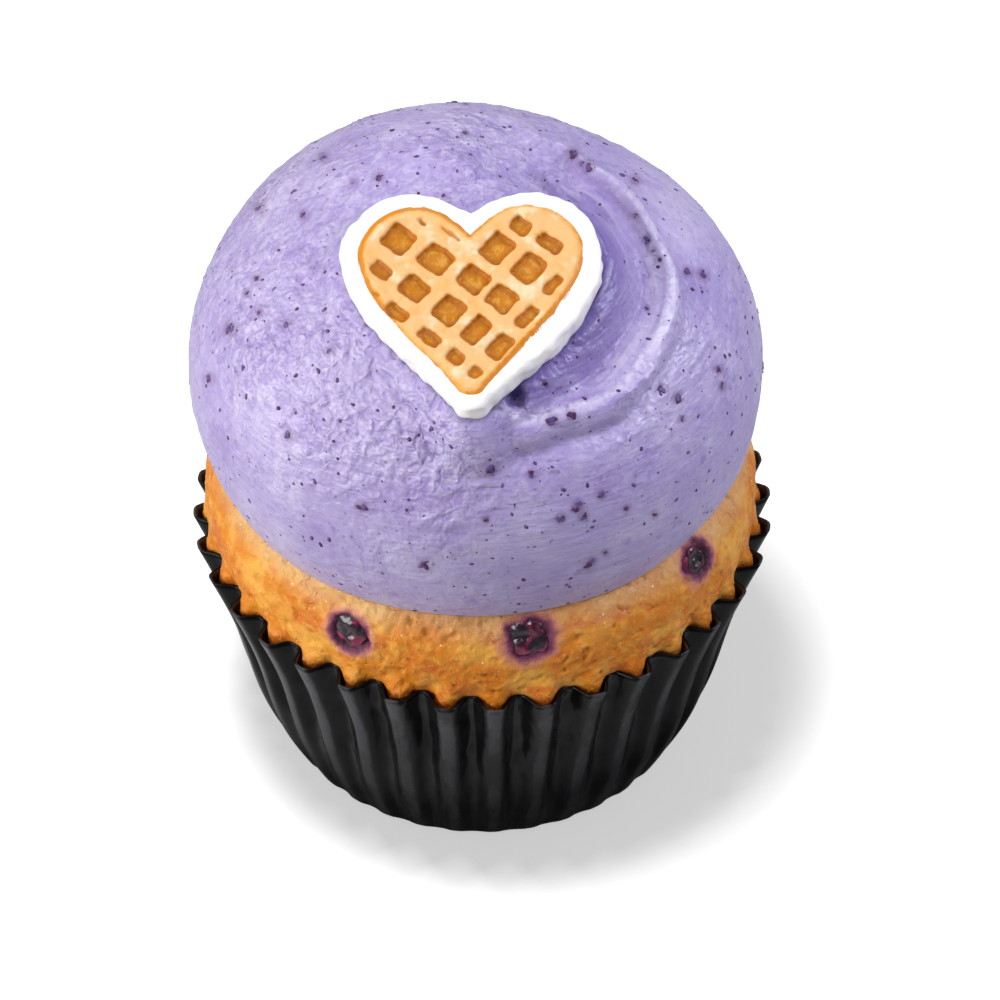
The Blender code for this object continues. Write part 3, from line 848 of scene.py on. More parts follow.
def golden_waffle(heart):
    """Waffle: cream and peach ridges, a toasted edge, and caramel pockets, darkest at their sides with
    painted shade.
    """
    finish = Finish(
        "golden_waffle", specular_ior_level=0.3, subsurface_weight=0.05, subsurface_scale=0.001
    )
    patches = finish.noise(3.2 * MM, 3.0, 0.6)
    mottle = finish.noise(0.9 * MM, 4.0, 0.6, 0.6)
    grain = finish.noise(0.28 * MM, 2.0)
    edge = finish.attribute("rim") + (mottle - 0.5) * 0.5
    floor = finish.layers(
        heart.caramel,
        (srgb(206, 150, 60), mottle.ramp(0.46, 0.64, 0.0, 0.8)),
        # Darker near the pockets' walls: painted shade in the pockets, partly a toasted tone
        (srgb(172, 98, 6), finish.attribute("wall").ramp(0.25, 0.95, 0.0, 0.75)),
    )
    base = finish.layers(
        heart.ridge,
        (heart.cream, patches.ramp(0.48, 0.66, 0.0, 0.9)),
        (srgb(234, 164, 94), finish.noise(2.4 * MM, 2.0).ramp(0.5, 0.68, 0.0, 0.7)),
        (srgb(224, 160, 74), edge.ramp(0.3, 0.65, 0.0, 0.8)),
        (heart.toasted, edge.ramp(0.52, 0.8)),
        (floor, finish.attribute("pocket").ramp(0.1, 0.5)),
    )
    normal = finish.bumps((mottle, 0.22 * MM), (grain, 0.02 * MM))
    return finish.done(base, mottle.ramp(0.3, 0.7, 0.5, 0.3), normal)


def pale_floor(stage):
    """A plain pale studio floor, which throws less light back up than it shows the camera."""
    finish = Finish("pale_floor", specular_ior_level=0.1)
    tone = finish.noise(0.4, 2.0)
    seen = Sum(finish.tree, add_node(finish.tree, "ShaderNodeLightPath").outputs["Is Camera Ray"])
    base = finish.blend(stage.floor, tuple(0.985 * value for value in stage.floor), tone)
    base = finish.blend(tuple(stage.bounce * value for value in stage.floor), base, seen)
    finish.shader.inputs["Emission Color"].default_value = (1.0, 1.0, 1.0, 1.0)
    plug(finish.tree, seen * stage.glow, finish.shader.inputs["Emission Strength"])
    return finish.done(base, tone.ramp(0.0, 1.0, 0.55, 0.6))


def case_outer_radius(case, share):
    """Radius of the case's outer folds at a share of its height."""
    cone = case.base_radius + (case.rim_radius - case.base_radius) * share
    belly = 4.0 * case.belly * share * (1.0 - share)
    return cone + belly + case.flare * np.sin(TURN * share)


def cake_side_radius(case, height):
    """The cake's radius inside the case, clear of the inner folds."""
    share = height / case.height
    depth = case.base_depth + (case.rim_depth - case.base_depth) * share
    return case_outer_radius(case, share) - depth - CAKE_SIDE_CLEARANCE


def crown_radius(angle):
    """The crown's largest radius: it spread more to the sides than to the front."""
    spread = CROWN_WIDE_RADIUS - CROWN_NARROW_RADIUS
    return CROWN_NARROW_RADIUS + spread * np.sin(angle) ** 2 + CROWN_LUMPS * np.sin(3.0 * angle + 0.7)


def crown_radius_at(angle, share):
    """The crown's radius at a share of its rise."""
    flat = 1.0 - np.minimum(1.0, np.abs(share)) ** CROWN_ROUNDNESS
    return crown_radius(angle) * flat ** (1.0 / CROWN_SHOULDER)


def crown_point(angle, share):
    """Points on the crown's crust."""
    return polar(angle, crown_radius_at(angle, share), CROWN_BELLY_HEIGHT + CROWN_RISE * share)


def crown_normal(angle, share):
    """The outward direction on the crust."""
    wide = crown_radius(angle)
    out = CROWN_SHOULDER * (crown_radius_at(angle, share) / wide) ** (CROWN_SHOULDER - 1.0) / wide
    up = CROWN_ROUNDNESS * np.abs(share) ** (CROWN_ROUNDNESS - 1.0) * np.sign(share) / CROWN_RISE
    size = np.hypot(out, up)
    return polar(angle, out / size, up / size)


def berry_seat(name):
    """A berry's middle, its outward direction and its radius."""
    degrees, share, radius, proud, _ = BERRIES[name]
    angle = math.radians(degrees)
    outward = crown_normal(angle, share)
    middle = crown_point(angle, share) + outward * (proud - radius * BERRY_SQUASH)
    return middle, outward, radius


def ring_noise(tree, place, scale):
    """Noise about zero at a place that goes round with the wall, so it has no seam."""
    at = add_node(tree, "ShaderNodeCombineXYZ", dict(zip("XYZ", place)))
    inputs = {"Vector": at.outputs[0], "Scale": scale, "Detail": 1.0}
    return Sum(tree, add_node(tree, "ShaderNodeTexNoise", inputs).outputs[0]) - 0.5


def case_tree():
    """Geometry Nodes tree of the pleated case: a grid bent round into a base and a pleated wall."""
    sizes = ["Pleats", "Height", "Base Radius", "Rim Radius"]
    sizes += ["Belly", "Flare", "Base Depth", "Rim Depth", "Corner"]
    inputs = {name: "Float" for name in sizes}
    inputs.update({"Columns": "Int", "Rows": "Int", "Material": "Material"})
    tree, given = open_tree("pleated_case", inputs)
    size = {name: Sum(tree, given[name]) for name in sizes}
    counts = {"Vertices X": given["Columns"], "Vertices Y": given["Rows"]}
    grid = add_node(tree, "GeometryNodeMeshGrid", {"Size X": 1.0, "Size Y": 1.0, **counts})
    spot = add_node(tree, "GeometryNodeInputPosition").outputs[0]
    at = add_node(tree, "ShaderNodeSeparateXYZ", {0: spot})
    angle = (Sum(tree, at.outputs["X"]) + 0.5) * TURN
    row = Sum(tree, at.outputs["Y"]) + 0.5
    base_share = CASE_BASE_ROWS / (CASE_BASE_ROWS + CASE_WALL_ROWS)
    share = row.ramp(base_share, 1.0, kind="LINEAR")
    inward = row.ramp(0.0, base_share, kind="LINEAR")
    corner = share.ramp(0.0, CASE_CORNER_SHARE, kind="LINEAR")
    sine, cosine = angle.math("SINE"), angle.math("COSINE")
    uneven = ring_noise(tree, (sine * 1.6, cosine * 1.6, share * 0.9), 2.6)
    crushed = ring_noise(tree, (sine * 3.0, cosine * 3.0, share * 1.4 + 7.0), 3.4)
    phase = angle * size["Pleats"] + uneven * (share * 1.0 + 0.2)
    wave = phase.math("SINE") + (phase * 3.0).math("SINE") * PLEAT_SQUARENESS
    wave = wave / (1.0 - PLEAT_SQUARENESS)
    depth = size["Base Depth"] + (size["Rim Depth"] - size["Base Depth"]) * share.math("POWER", 1.25)
    depth = depth * (crushed.math("ABSOLUTE") * -0.9 + 1.0)
    cone = size["Base Radius"] + (size["Rim Radius"] - size["Base Radius"]) * share
    belly = size["Belly"] * share * (share * -1.0 + 1.0) * 4.0
    outer = cone + belly + size["Flare"] * (share * TURN).math("SINE")
    rounding = (corner * -1.0 + 1.0).math("POWER", 2.0) * size["Corner"]
    sunk = ((wave * -1.0 + 1.0) * 0.5).math("MAXIMUM", 0.0).math("POWER", PLEAT_FULLNESS)
    wall = outer - depth * sunk * corner - rounding
    radius = wall * inward
    lift = (crushed * 0.7 * MM + (wave - 1.0) * 0.12 * MM) * share.ramp(0.9, 1.0)
    height = size["Height"] * share + lift
    place = {"X": sine * radius, "Y": cosine * radius * -1.0, "Z": height}
    place = add_node(tree, "ShaderNodeCombineXYZ", place)
    kept = add_node(
        tree,
        "GeometryNodeStoreNamedAttribute",
        {"Geometry": grid.outputs[0], "Name": "wave", "Value": wave * corner},
        data_type="FLOAT",
        domain="POINT",
    )
    inputs = {"Geometry": kept.outputs[0], "Position": place.outputs[0]}
    bent = add_node(tree, "GeometryNodeSetPosition", inputs)
    inputs = {"Geometry": bent.outputs[0], "Distance": 0.01 * MM}
    close_tree(tree, add_node(tree, "GeometryNodeMergeByDistance", inputs).outputs[0], given["Material"])
    return tree


def mesh_of_tree(name, tree, values, mesh=None):
    """The plain mesh that a Geometry Nodes tree makes, with its named inputs set."""
    helper = bpy.data.objects.new(name + "_maker", mesh or bpy.data.meshes.new(name + "_start"))
    bpy.context.scene.collection.objects.link(helper)
    maker = helper.modifiers.new("maker", "NODES")
    maker.node_group = tree
    for item in tree.interface.items_tree:
        if item.in_out == "INPUT" and item.name in values:
            maker[item.identifier] = values[item.name]
    graph = bpy.context.evaluated_depsgraph_get()
    made = bpy.data.meshes.new_from_object(helper.evaluated_get(graph))
    made.name = name
    helper.modifiers.remove(maker)
    bpy.data.objects.remove(helper)
    return made


def build_case(case):
    """The pleated paper case, given its thickness and two faces."""
    outside = black_paper(case)
    values = {
        "Pleats": float(case.pleats),
        "Height": case.height,
        "Base Radius": case.base_radius,
        "Rim Radius": case.rim_radius,
        "Belly": case.belly,
        "Flare": case.flare,
        "Base Depth": case.base_depth,
        "Rim Depth": case.rim_depth,
        "Corner": case.corner,
        "Columns": case.pleats * CASE_COLUMNS_PER_PLEAT + 1,
        "Rows": CASE_BASE_ROWS + CASE_WALL_ROWS + 1,
        "Material": outside,
    }
    mesh = mesh_of_tree("pleated_case", case_tree(), values)
    piece = finish_piece("pleated_case", mesh, (outside, brown_paper(case)), "paper_case")
    wall = piece.modifiers.new("paper", "SOLIDIFY")
    wall.thickness = case.paper
    wall.offset = -1.0
    wall.use_even_offset = True
    wall.material_offset = 1
    return piece


def fold_recess(case):
    """How far the paper lies inside its outer folds near the rim, for even angles all round."""
    spots = np.array([vertex.co for vertex in bpy.data.objects["pleated_case"].data.vertices])
    spots = spots[spots[:, 2] > 0.9 * case.height]
    count = case.pleats * CASE_COLUMNS_PER_PLEAT
    column = np.round(np.arctan2(spots[:, 0], -spots[:, 1]) / TURN * count).astype(int) % count
    share = np.minimum(1.0, spots[:, 2] / case.height)
    recess = case_outer_radius(case, share) - np.hypot(spots[:, 0], spots[:, 1])
    mean = np.bincount(column, recess, count) / np.maximum(1, np.bincount(column, minlength=count))
    return np.max([np.roll(mean, step) for step in (-1, 0, 1)], axis=0)


def cake_profile(case):
    """Rings of the cake from its foot to its top: a point count, and a height or a crown share."""
    full, half, quarter, eighth = (CAKE_COLUMNS // 2**i for i in range(4))
    over = case.height + 0.25 * MM
    shares = np.sin(np.linspace(0.0, math.asin(CROWN_TOP_SHARE), 44))
    rings = [(eighth, "side", CAKE_FOOT)]
    rings += [(eighth, "side", height * MM) for height in (1.9, 6.0, 12.0, 18.0, 24.0)]
    rings += [(quarter, "side", 28.0 * MM), (half, "side", 30.5 * MM), (full, "side", 32.0 * MM)]
    rings += [(full, "side", height) for height in np.linspace(32.3 * MM, case.height, 8)]
    rings += [(full, "side", height) for height in np.linspace(over, 37.4 * MM, 12)]
    rings += [(full, "crown", share) for share in shares]
    rings += [(half, "crown", 0.84), (quarter, "crown", 0.92), (eighth, "crown", 0.975)]
    rings += [(eighth, "crown", 0.997), (eighth // 2, "crown", 0.99995)]
    return rings


def crust_relief(cake, points):
    """The crust's lumps, crumb and small holes, as a height at each point."""
    warped = points + 0.5 * MM * noise_at(points, 2.2 * MM, 3.0)[:, None]
    lumps = noise_at(points, 5.0 * MM) + 0.6 * noise_at(points, 2.3 * MM, 9.0) - 0.3
    crumb = ridges_at(warped, 1.5 * MM, 5.0) + 0.7 * noise_at(warped, 0.8 * MM, 2.0) - 0.5
    holes = 3.0 * cake.crumb * smoothstep(0.35, 0.62, noise_at(points, 1.3 * MM, 17.0))
    return cake.lumps * lumps + cake.crumb * crumb - holes


def build_cake(case, cake):
    """The cake: a side that follows the case, a lumpy crown, and a crater round each berry."""
    rings = cake_profile(case)
    counts = [count for count, _, _ in rings]
    angles, rows = ring_layout(counts)
    kinds = np.array([kind for _, kind, _ in rings])[rows]
    values = np.array([value for _, _, value in rings])[rows]
    share = np.where(kinds == "crown", values, 0.0)
    side = cake_side_radius(case, np.minimum(values, case.height))
    side = np.where(rows == 0, side - CAKE_CORNER, side)
    recess = fold_recess(case)
    even = np.arange(len(recess)) * TURN / len(recess)
    fold = case_outer_radius(case, np.minimum(1.0, values / case.height)) - CAKE_FOLD_CLEARANCE
    fold = fold - np.interp(angles, even, recess, period=TURN)
    side = side + np.maximum(0.0, fold - side) * smoothstep(*FILL_HEIGHTS, values)
    side = side + (crown_radius(angles) - side) * smoothstep(*CURVE_HEIGHTS, values)
    radius = np.where(kinds == "crown", crown_radius_at(angles, share), side)
    height = np.where(kinds == "crown", CROWN_BELLY_HEIGHT + CROWN_RISE * share, values)
    points = polar(angles, radius, height)
    crown = (kinds == "crown")[:, None]
    outward = np.where(crown, crown_normal(angles, share), polar(angles, 1.0, 0.0))
    free = smoothstep(*LUMPY_HEIGHTS, height) * smoothstep(0.8, 0.7, share)
    relief = crust_relief(cake, points)
    relief = np.minimum(relief, 0.25 * MM - 0.22 * MM * smoothstep(*PAPER_HEIGHTS, height))
    stain = np.zeros(len(points))
    ragged = 0.16 * noise_at(points, 1.8 * MM, 30.0) + 0.08 * noise_at(points, 0.8 * MM, 40.0)
    for name in BERRIES:
        middle, facing, berry = berry_seat(name)
        offset = points - middle
        along = offset @ facing
        away = np.linalg.norm(offset - along[:, None] * facing, axis=1) / berry
        away = np.where(along > -0.5 * berry, away, 9.0) - BERRIES[name][4]
        relief -= cake.crater * smoothstep(0.10, -0.30, away + 1.3 * ragged)
        relief += 0.12 * MM * hill(away + ragged - 0.3, 0.2)
        stain = np.maximum(stain, smoothstep(0.62, -0.14, away + 0.8 * ragged))
    points = points + outward * (relief * free)[:, None]
    under = smoothstep(0.35, 0.62, share) * (kinds == "crown")
    # Painted shade: 1 low in the folds of the case, 0 above them
    shade = smoothstep(*FOLD_SHADE_HEIGHTS, height)
    low = (0.0, 0.0, CAKE_FOOT)
    high = (0.0, 0.0, CROWN_BELLY_HEIGHT + CROWN_RISE)
    points, faces = closed_rings(counts, points, low, high)
    attributes = {
        "stain": np.append(stain, (0.0, 0.0)),
        "under": np.append(under, (0.0, 1.0)),
        "shade": np.append(shade, (1.0, 0.0)),
    }
    mesh = mesh_from("baked_cake", points, faces, attributes)
    return finish_piece("baked_cake", mesh, (golden_crumb(cake),), "cake")


def build_berry(name, skin):
    """One blueberry, wrinkled by the oven and sunk into the crust."""
    middle, facing, radius = berry_seat(name)
    shape = bmesh.new()
    bmesh.ops.create_icosphere(shape, subdivisions=5, radius=1.0)
    turn = Vector(facing).to_track_quat("Z", "Y").to_matrix().to_4x4()
    size = Matrix.Diagonal((radius, radius, radius * BERRY_SQUASH, 1.0))
    directions = np.array([vertex.co[:] for vertex in shape.verts])
    seed = 10.0 * middle[0] / MM
    folds = ridges_at(directions, 0.75, seed) * 0.07 + 0.06 * noise_at(directions, 0.45, seed)
    pucker = 0.10 * hill(np.hypot(directions[:, 0], directions[:, 1]) - 0.12, 0.16)
    pucker = pucker * (directions[:, 2] > 0.0)
    scale = 0.985 - folds - pucker
    for vertex, share in zip(shape.verts, scale):
        vertex.co *= share
    bmesh.ops.transform(shape, matrix=Matrix.Translation(middle) @ turn @ size, verts=shape.verts)
    mesh = bpy.data.meshes.new("blueberry_" + name)
    shape.to_mesh(mesh)
    shape.free()
    mesh.shade_smooth()
    heights = np.array([vertex.co.z for vertex in mesh.vertices])
    low = np.clip((middle[2] - heights) / radius + 0.3, 0.0, 1.0)
    layer = mesh.attributes.new("low", "FLOAT", "POINT")
    layer.data.foreach_set("value", low.astype(np.float32))
    return finish_piece("blueberry_" + name, mesh, (skin,), "berry_" + name)


def swirl_place(points):
    """For each point: degrees round the swirl, metres inside its lip, and the swirl's strength."""
    across = points[:, 0] - SWIRL_MIDDLE[0]
    back = points[:, 1] - SWIRL_MIDDLE[1]
    degrees = np.degrees(np.arctan2(across, back)) % 360.0
    stops = np.array(SWIRL_LIP)
    span = np.clip(np.searchsorted(stops[:, 0], degrees, side="right") - 1, 0, len(stops) - 2)
    ramp = smoothstep(stops[span, 0], stops[span + 1, 0], degrees)
    lip = stops[span, 1] + (stops[span + 1, 1] - stops[span, 1]) * ramp
    strength = smoothstep(*SWIRL_START, degrees) - smoothstep(*SWIRL_END, degrees)
    return degrees, lip - np.hypot(across, back), strength


def mound_points(frosting, angle, slope):
    """Points of the smooth mound with its swirl, and the outward direction at each."""
    rise = np.sin(slope)
    power = np.where(rise < 0.0, MOUND_UNDER_FULLNESS, 2.0)
    radius = frosting.radius * (1.0 - np.minimum(1.0, np.abs(rise)) ** power) ** (1.0 / power)
    points = polar(angle, radius, frosting.middle + frosting.rise * rise)
    outward = polar(angle, np.cos(slope) / frosting.radius, rise / frosting.rise)
    outward = outward / np.linalg.norm(outward, axis=1, keepdims=True)
    lumps = MOUND_LUMPS * noise_at(points, 1.0 / MOUND_LUMPS_PER_METRE)
    lean = np.where(np.sin(angle) > 0.0, MOUND_LEAN_RIGHT, MOUND_LEAN_LEFT)
    lean = lean * np.maximum(0.0, rise) * np.sin(angle) * np.maximum(0.0, -np.cos(angle))
    degrees, inset, strength = swirl_place(points)
    upper = smoothstep(-0.05, 0.25, rise)
    creased = smoothstep(*CREASE_START, degrees)
    relief = frosting.lip * hill(inset, np.where(inset > 0.0, LIP_WIDTH, LIP_OUTER_WIDTH))
    relief -= frosting.crease * hill(inset - CREASE_INSET, CREASE_WIDTH) * creased
    relief -= frosting.bowl * hill(inset - BOWL_INSET, BOWL_WIDTH)
    relief += frosting.terrace * hill(inset - TERRACE_INSET, TERRACE_WIDTH)
    shift = strength * upper * relief + lumps - lean
    points = points + outward * shift[:, None]
    points[:, 0] += MOUND_OFFSET_X
    return points, outward


def mound_foot(frosting, angles):
    """The slope at which the mound meets the crown, with a gap, for each angle."""
    low = np.full(len(angles), -0.72)
    high = np.full(len(angles), -0.10)
    for _ in range(24):
        middle = 0.5 * (low + high)
        points, _ = mound_points(frosting, angles, middle)
        share = (points[:, 2] - CROWN_BELLY_HEIGHT) / CROWN_RISE
        facing = np.arctan2(points[:, 0], -points[:, 1])
        inside = np.hypot(points[:, 0], points[:, 1]) < crown_radius_at(facing, share) + GAP
        low = np.where(inside, middle, low)
        high = np.where(inside, high, middle)
    return high


def heart_frame():
    """The heart's own frame: its origin is the middle of the sugar heart's top face."""
    frosting = bpy.context.scene.cupcake_frosting
    x, y = HEART_SEAT
    reach = math.hypot(x, y) / frosting.radius
    surface = Vector((x, y, frosting.middle + frosting.rise * math.sqrt(1.0 - reach**2)))
    turn = (
        Matrix.Rotation(math.radians(HEART_LEAN), 4, "Y")
        @ Matrix.Rotation(math.radians(HEART_TILT), 4, "X")
        @ Matrix.Rotation(math.radians(HEART_TURN), 4, "Z")
    )
    outward = turn.to_3x3() @ Vector((0.0, 0.0, 1.0))
    return np.array(Matrix.Translation(surface + outward * HEART_PROUD) @ turn)


def heart_ring(outline):
    """Points evenly spaced round a heart, anticlockwise from its notch, in metres."""
    wide, top, tip, notch = (outline[key] * MM for key in ("half_width", "top", "tip", "notch"))
    lobe, widest = outline["lobe"] * MM, outline["widest"] * MM
    rise = notch + 0.64 * (top - notch)
    # the right half: each point, with the handle before it and the handle after it
    right = (
        ((0.0, notch), (-0.17 * wide, rise), (0.17 * wide, rise)),
        ((lobe, top), (0.7 * lobe, top), (0.84 * wide, top)),
        ((wide, widest), (wide, 0.65 * top), (wide, widest - 0.55 * top)),
        ((0.1 * wide, 0.97 * tip), (outline["taper"] * wide, 0.57 * tip), (0.06 * wide, tip)),
        ((0.0, tip), (0.03 * wide, tip), (-0.03 * wide, tip)),
    )
    steps = np.linspace(0.0, 1.0, 60)[:, None]
    drawn = []
    for (start, _, leave), (end, arrive, _) in zip(right, right[1:]):
        ends = np.array(start) * (1.0 - steps) ** 3 + np.array(end) * steps**3
        handles = np.array(leave) * (1.0 - steps) + np.array(arrive) * steps
        drawn.append(ends + 3.0 * steps * (1.0 - steps) * handles)
    half = np.vstack(drawn)
    walked = np.append(0.0, np.cumsum(np.linalg.norm(np.diff(half, axis=0), axis=1)))
    even = np.linspace(0.0, walked[-1], HEART_POINTS // 2 + 1)
    half = np.stack([np.interp(even, walked, half[:, axis]) for axis in (0, 1)], axis=1)
    left = half * (-1.0, 1.0)
    ring = np.vstack((left[:-1], half[::-1][:-1]))
    ring[:, 0] += outline["skew"] * MM * hill(ring[:, 1] - SKEW_MIDDLE, SKEW_REACH)
    return ring


def heart_share(outline, flat):
    """How far out points lie in a heart: 0 at its middle and 1 on its outline."""
    ring = heart_ring(outline) - HEART_MIDDLE
    bearings = np.arctan2(ring[:, 1], ring[:, 0])
    order = np.argsort(bearings)
    offset = flat - HEART_MIDDLE
    reach = np.interp(
        np.arctan2(offset[:, 1], offset[:, 0]),
        bearings[order],
        np.hypot(ring[:, 0], ring[:, 1])[order],
        period=TURN,
    )
    return np.hypot(offset[:, 0], offset[:, 1]) / reach


def distance_to(ring, flat):
    """How far points of the heart's plane lie from the nearest point of a ring."""
    return np.min(np.hypot(flat[:, None, 0] - ring[:, 0], flat[:, None, 1] - ring[:, 1]), axis=1)


def away_from_middle(flat):
    """The direction of points of the heart's plane from its middle."""
    return (flat - HEART_MIDDLE) / np.linalg.norm(flat - HEART_MIDDLE, axis=1, keepdims=True)


def press_heart(points, sugar_thickness):
    """Presses the sugar heart's seat into the mound: the points, which are in it, which near it."""
    at = heart_frame()
    local = (points - at[:3, 3]) @ at[:3, :3]
    close = (local[:, 2] > -14.0 * MM) & (np.hypot(local[:, 0], local[:, 1]) < 26.0 * MM)
    share = np.full(len(points), 9.0)
    share[close] = heart_share(SUGAR_OUTLINE, local[close, :2])
    ring = heart_ring(SUGAR_OUTLINE)[::3]
    away = np.full(len(points), FAR_AWAY)
    away[close] = distance_to(ring, local[close, :2])
    away = np.where(share < 1.0, 0.0, away)
    banked = -sugar_thickness + 0.3 * MM - away**2 / (3.0 * MM)
    height = np.maximum(local[:, 2], np.where(away < FAR_AWAY, banked, -FAR_AWAY))
    seat = -sugar_thickness - 0.15 * MM + 6.0 * MM * smoothstep(0.955, 1.01, share)
    height = np.where(share < 1.0, np.minimum(height, seat), height)
    moved = np.column_stack((local[:, :2], height)) @ at[:3, :3].T + at[:3, 3]
    return moved, smoothstep(1.06, 0.98, share), hill(away, HEART_SHADE_WIDTH)


def build_frosting(frosting, heart):
    """The frosting: a round mound with a spatula swirl, strokes, wrinkles and the heart's seat."""
    edge = [int(MOUND_COLUMNS / 2**k) for k in (4, 3, 2, 1, 0)]
    inner = np.array([0.25, 0.5, 0.75, 0.9, 0.97])
    slopes = np.linspace(0.0, 1.0, MOUND_ROWS + 1)[:-1]
    dome = [
        MOUND_COLUMNS if lift < 0.72 else MOUND_COLUMNS // 2 if lift < 0.87 else MOUND_COLUMNS // 4
        for lift in slopes
    ]
    dome[-4:] = [MOUND_COLUMNS // 8] * 4
    counts = edge + dome
    angles, rows = ring_layout(counts)
    every = np.arange(MOUND_COLUMNS) * TURN / MOUND_COLUMNS
    foot = np.interp(angles, every, mound_foot(frosting, every), period=TURN)
    lift = np.append(np.zeros(len(edge)), slopes)[rows]
    slope = foot + (0.5 * math.pi - foot) * lift
    points, outward = mound_points(frosting, angles, slope)
    below = rows < len(edge)
    points = add_cream_detail(frosting, points, outward, lift)
    contact = np.hypot(points[:, 0], points[:, 1])
    facing = np.arctan2(points[:, 0], -points[:, 1])
    radius = contact * np.append(inner, np.ones(len(dome)))[rows]
    flat = 1.0 - np.minimum(1.0, radius / crown_radius(facing)) ** CROWN_SHOULDER
    share = flat ** (1.0 / CROWN_ROUNDNESS)
    ceiling = polar(facing, radius, CROWN_BELLY_HEIGHT + CROWN_RISE * share + GAP)
    points = np.where(below[:, None], ceiling, points)
    # The third share is where the heart's painted shadow falls beside it
    points, seated, hollow = press_heart(points, heart.sugar_thickness)
    points = add_pits(points, outward)
    low = (MOUND_OFFSET_X, 0.0, CROWN_BELLY_HEIGHT + CROWN_RISE + GAP)
    high, _ = mound_points(frosting, np.array([0.0]), np.array([0.5 * math.pi]))
    degrees, inset, strength = swirl_place(points)
    points, faces = closed_rings(counts, points, low, high[0])
    inside = strength * smoothstep(-0.3 * MM, 0.8 * MM, inset) * smoothstep(*STROKES_FADE, inset)
    swirl = np.column_stack((inset / MM, degrees / 4.0, inside))
    # Painted shade in the bowl, joined with the heart's painted shadow
    sunk = 0.45 * strength * hill(inset - PAINTED_SHADE_INSET, PAINTED_SHADE_WIDTH)
    hollow = np.maximum(sunk, (0.2 + 0.8 * strength) * hollow)
    attributes = {
        "swirl": np.vstack((swirl, np.zeros((2, 3)))),
        "open": np.append(np.where(below, 0.0, 1.0 - seated), (0.0, 1.0)),
        "rough": np.append(roughness_of(points[:-2], inset, strength), (0.0, 1.0)),
        # crest: where the painted highlight runs along the lip
        "crest": np.append(0.8 * strength * hill(inset, 0.8 * LIP_WIDTH), (0.0, 0.0)),
        "hollow": np.append(hollow, (0.0, 0.0)),
        "stain": bit_stain(frosting, points),
    }
    mesh = mesh_from("frosting_mound", points, faces, attributes)
    cream = lavender_cream(frosting)
    return finish_piece("frosting_mound", mesh, (cream,), "frosting")


def roughness_of(points, inset, strength):
    """How wrinkled the cream is: most on the top left, and smooth in the swirl and low down."""
    upper = smoothstep(58.0 * MM, 74.0 * MM, points[:, 2])
    swirled = strength * smoothstep(*SMOOTH_FADE, inset)
    patches = 0.75 + 0.5 * noise_at(points, 8.0 * MM, 50.0)
    return np.clip((0.4 + 0.6 * upper) * (1.0 - 0.45 * swirled) * patches, 0.1, 1.2)


def add_cream_detail(frosting, points, outward, lift):
    """Adds the strokes inside the swirl, wrinkles elsewhere, and the small marks of the spatula."""
    degrees, inset, strength = swirl_place(points)
    inside = strength * smoothstep(-0.2 * MM, 1.2 * MM, inset) * smoothstep(*STROKES_FADE, inset)
    run = np.column_stack((inset / (1.3 * MM), degrees / 14.0, np.zeros(len(points))))
    broad = np.column_stack((inset / (3.0 * MM), degrees / 30.0, np.full(len(points), 4.0)))
    strokes = noise_at(run, 1.0) + 1.6 * noise_at(broad, 1.0)
    rough = roughness_of(points, inset, strength)
    warp = 0.9 * MM * noise_at(points, 3.0 * MM, 12.0)
    warped = points + np.column_stack((warp, -warp, warp))
    creases = np.hypot(noise_at(warped, 1.9 * MM, 22.0), 0.14)
    wrinkles = 3.0 * creases + noise_at(warped, 1.2 * MM, 27.0) - 0.9
    laps = noise_at(points * (0.35, 0.35, 1.6), 2.4 * MM, 33.0)
    shift = frosting.strokes * strokes * inside
    shift += frosting.wrinkles * (wrinkles * rough * (1.0 - 0.6 * inside) + 0.8 * laps)
    clear = smoothstep(0.0, 0.03, lift)
    shift = np.clip(shift * clear, -0.6 * MM, 0.45 * MM)
    seen = seen_at(points)
    for stops, height in FLAKES:
        shift += height * MM * hill(along_line(points, seen, stops), FLAKE_WIDTH)
    return points + outward * shift[:, None]


def add_pits(points, outward):
    """Sinks the round pits into the cream."""
    shift = np.zeros(len(points))
    seen = seen_at(points)
    for *place, radius, depth in PITS:
        away = away_from(points, seen, np.array(place) * MM)
        shift -= depth * MM * smoothstep(radius * MM, 0.6 * radius * MM, away)
    return points + outward * shift[:, None]


def all_bits(frosting):
    """The bits of berry skin: those in the list, and others on the back."""
    draw = np.random.default_rng(23)
    angle = math.pi + draw.uniform(-1.9, 1.9, BACK_BITS)
    slope = draw.uniform(-0.2, 1.2, BACK_BITS)
    height = frosting.middle + frosting.rise * np.sin(slope)
    places = polar(angle, np.cos(slope) * frosting.radius, height)
    sizes = draw.uniform(0.35, 0.75, BACK_BITS)
    return np.vstack((np.array(BERRY_BITS) * MM, np.column_stack((places, sizes * MM))))


def bit_stain(frosting, points):
    """A purple halo on the cream round each bit of berry skin."""
    stain = np.zeros(len(points))
    seen = seen_at(points)
    for i, bit in enumerate(all_bits(frosting)):
        away = np.linalg.norm(points - bit[:3], axis=1)
        if i < len(BERRY_BITS):
            away = away_from(points, seen, bit[:3])
        stain = np.maximum(stain, hill(np.maximum(0.0, away - 0.3 * MM), bit[3] * 0.8))
    return stain


def seen_at(points):
    """Where points lie in the camera's view: metres across and up at the cupcake's distance."""
    start, aim = np.array(CAMERA_PLACE), np.array(CAMERA_AIM)
    far = np.linalg.norm(aim - start)
    ahead = (aim - start) / far
    across = np.cross(ahead, (0.0, 0.0, 1.0))
    across = across / np.linalg.norm(across)
    offset = np.atleast_2d(points) - start
    flat = np.column_stack((offset @ across, offset @ np.cross(across, ahead)))
    return far * flat / (offset @ ahead)[:, None]


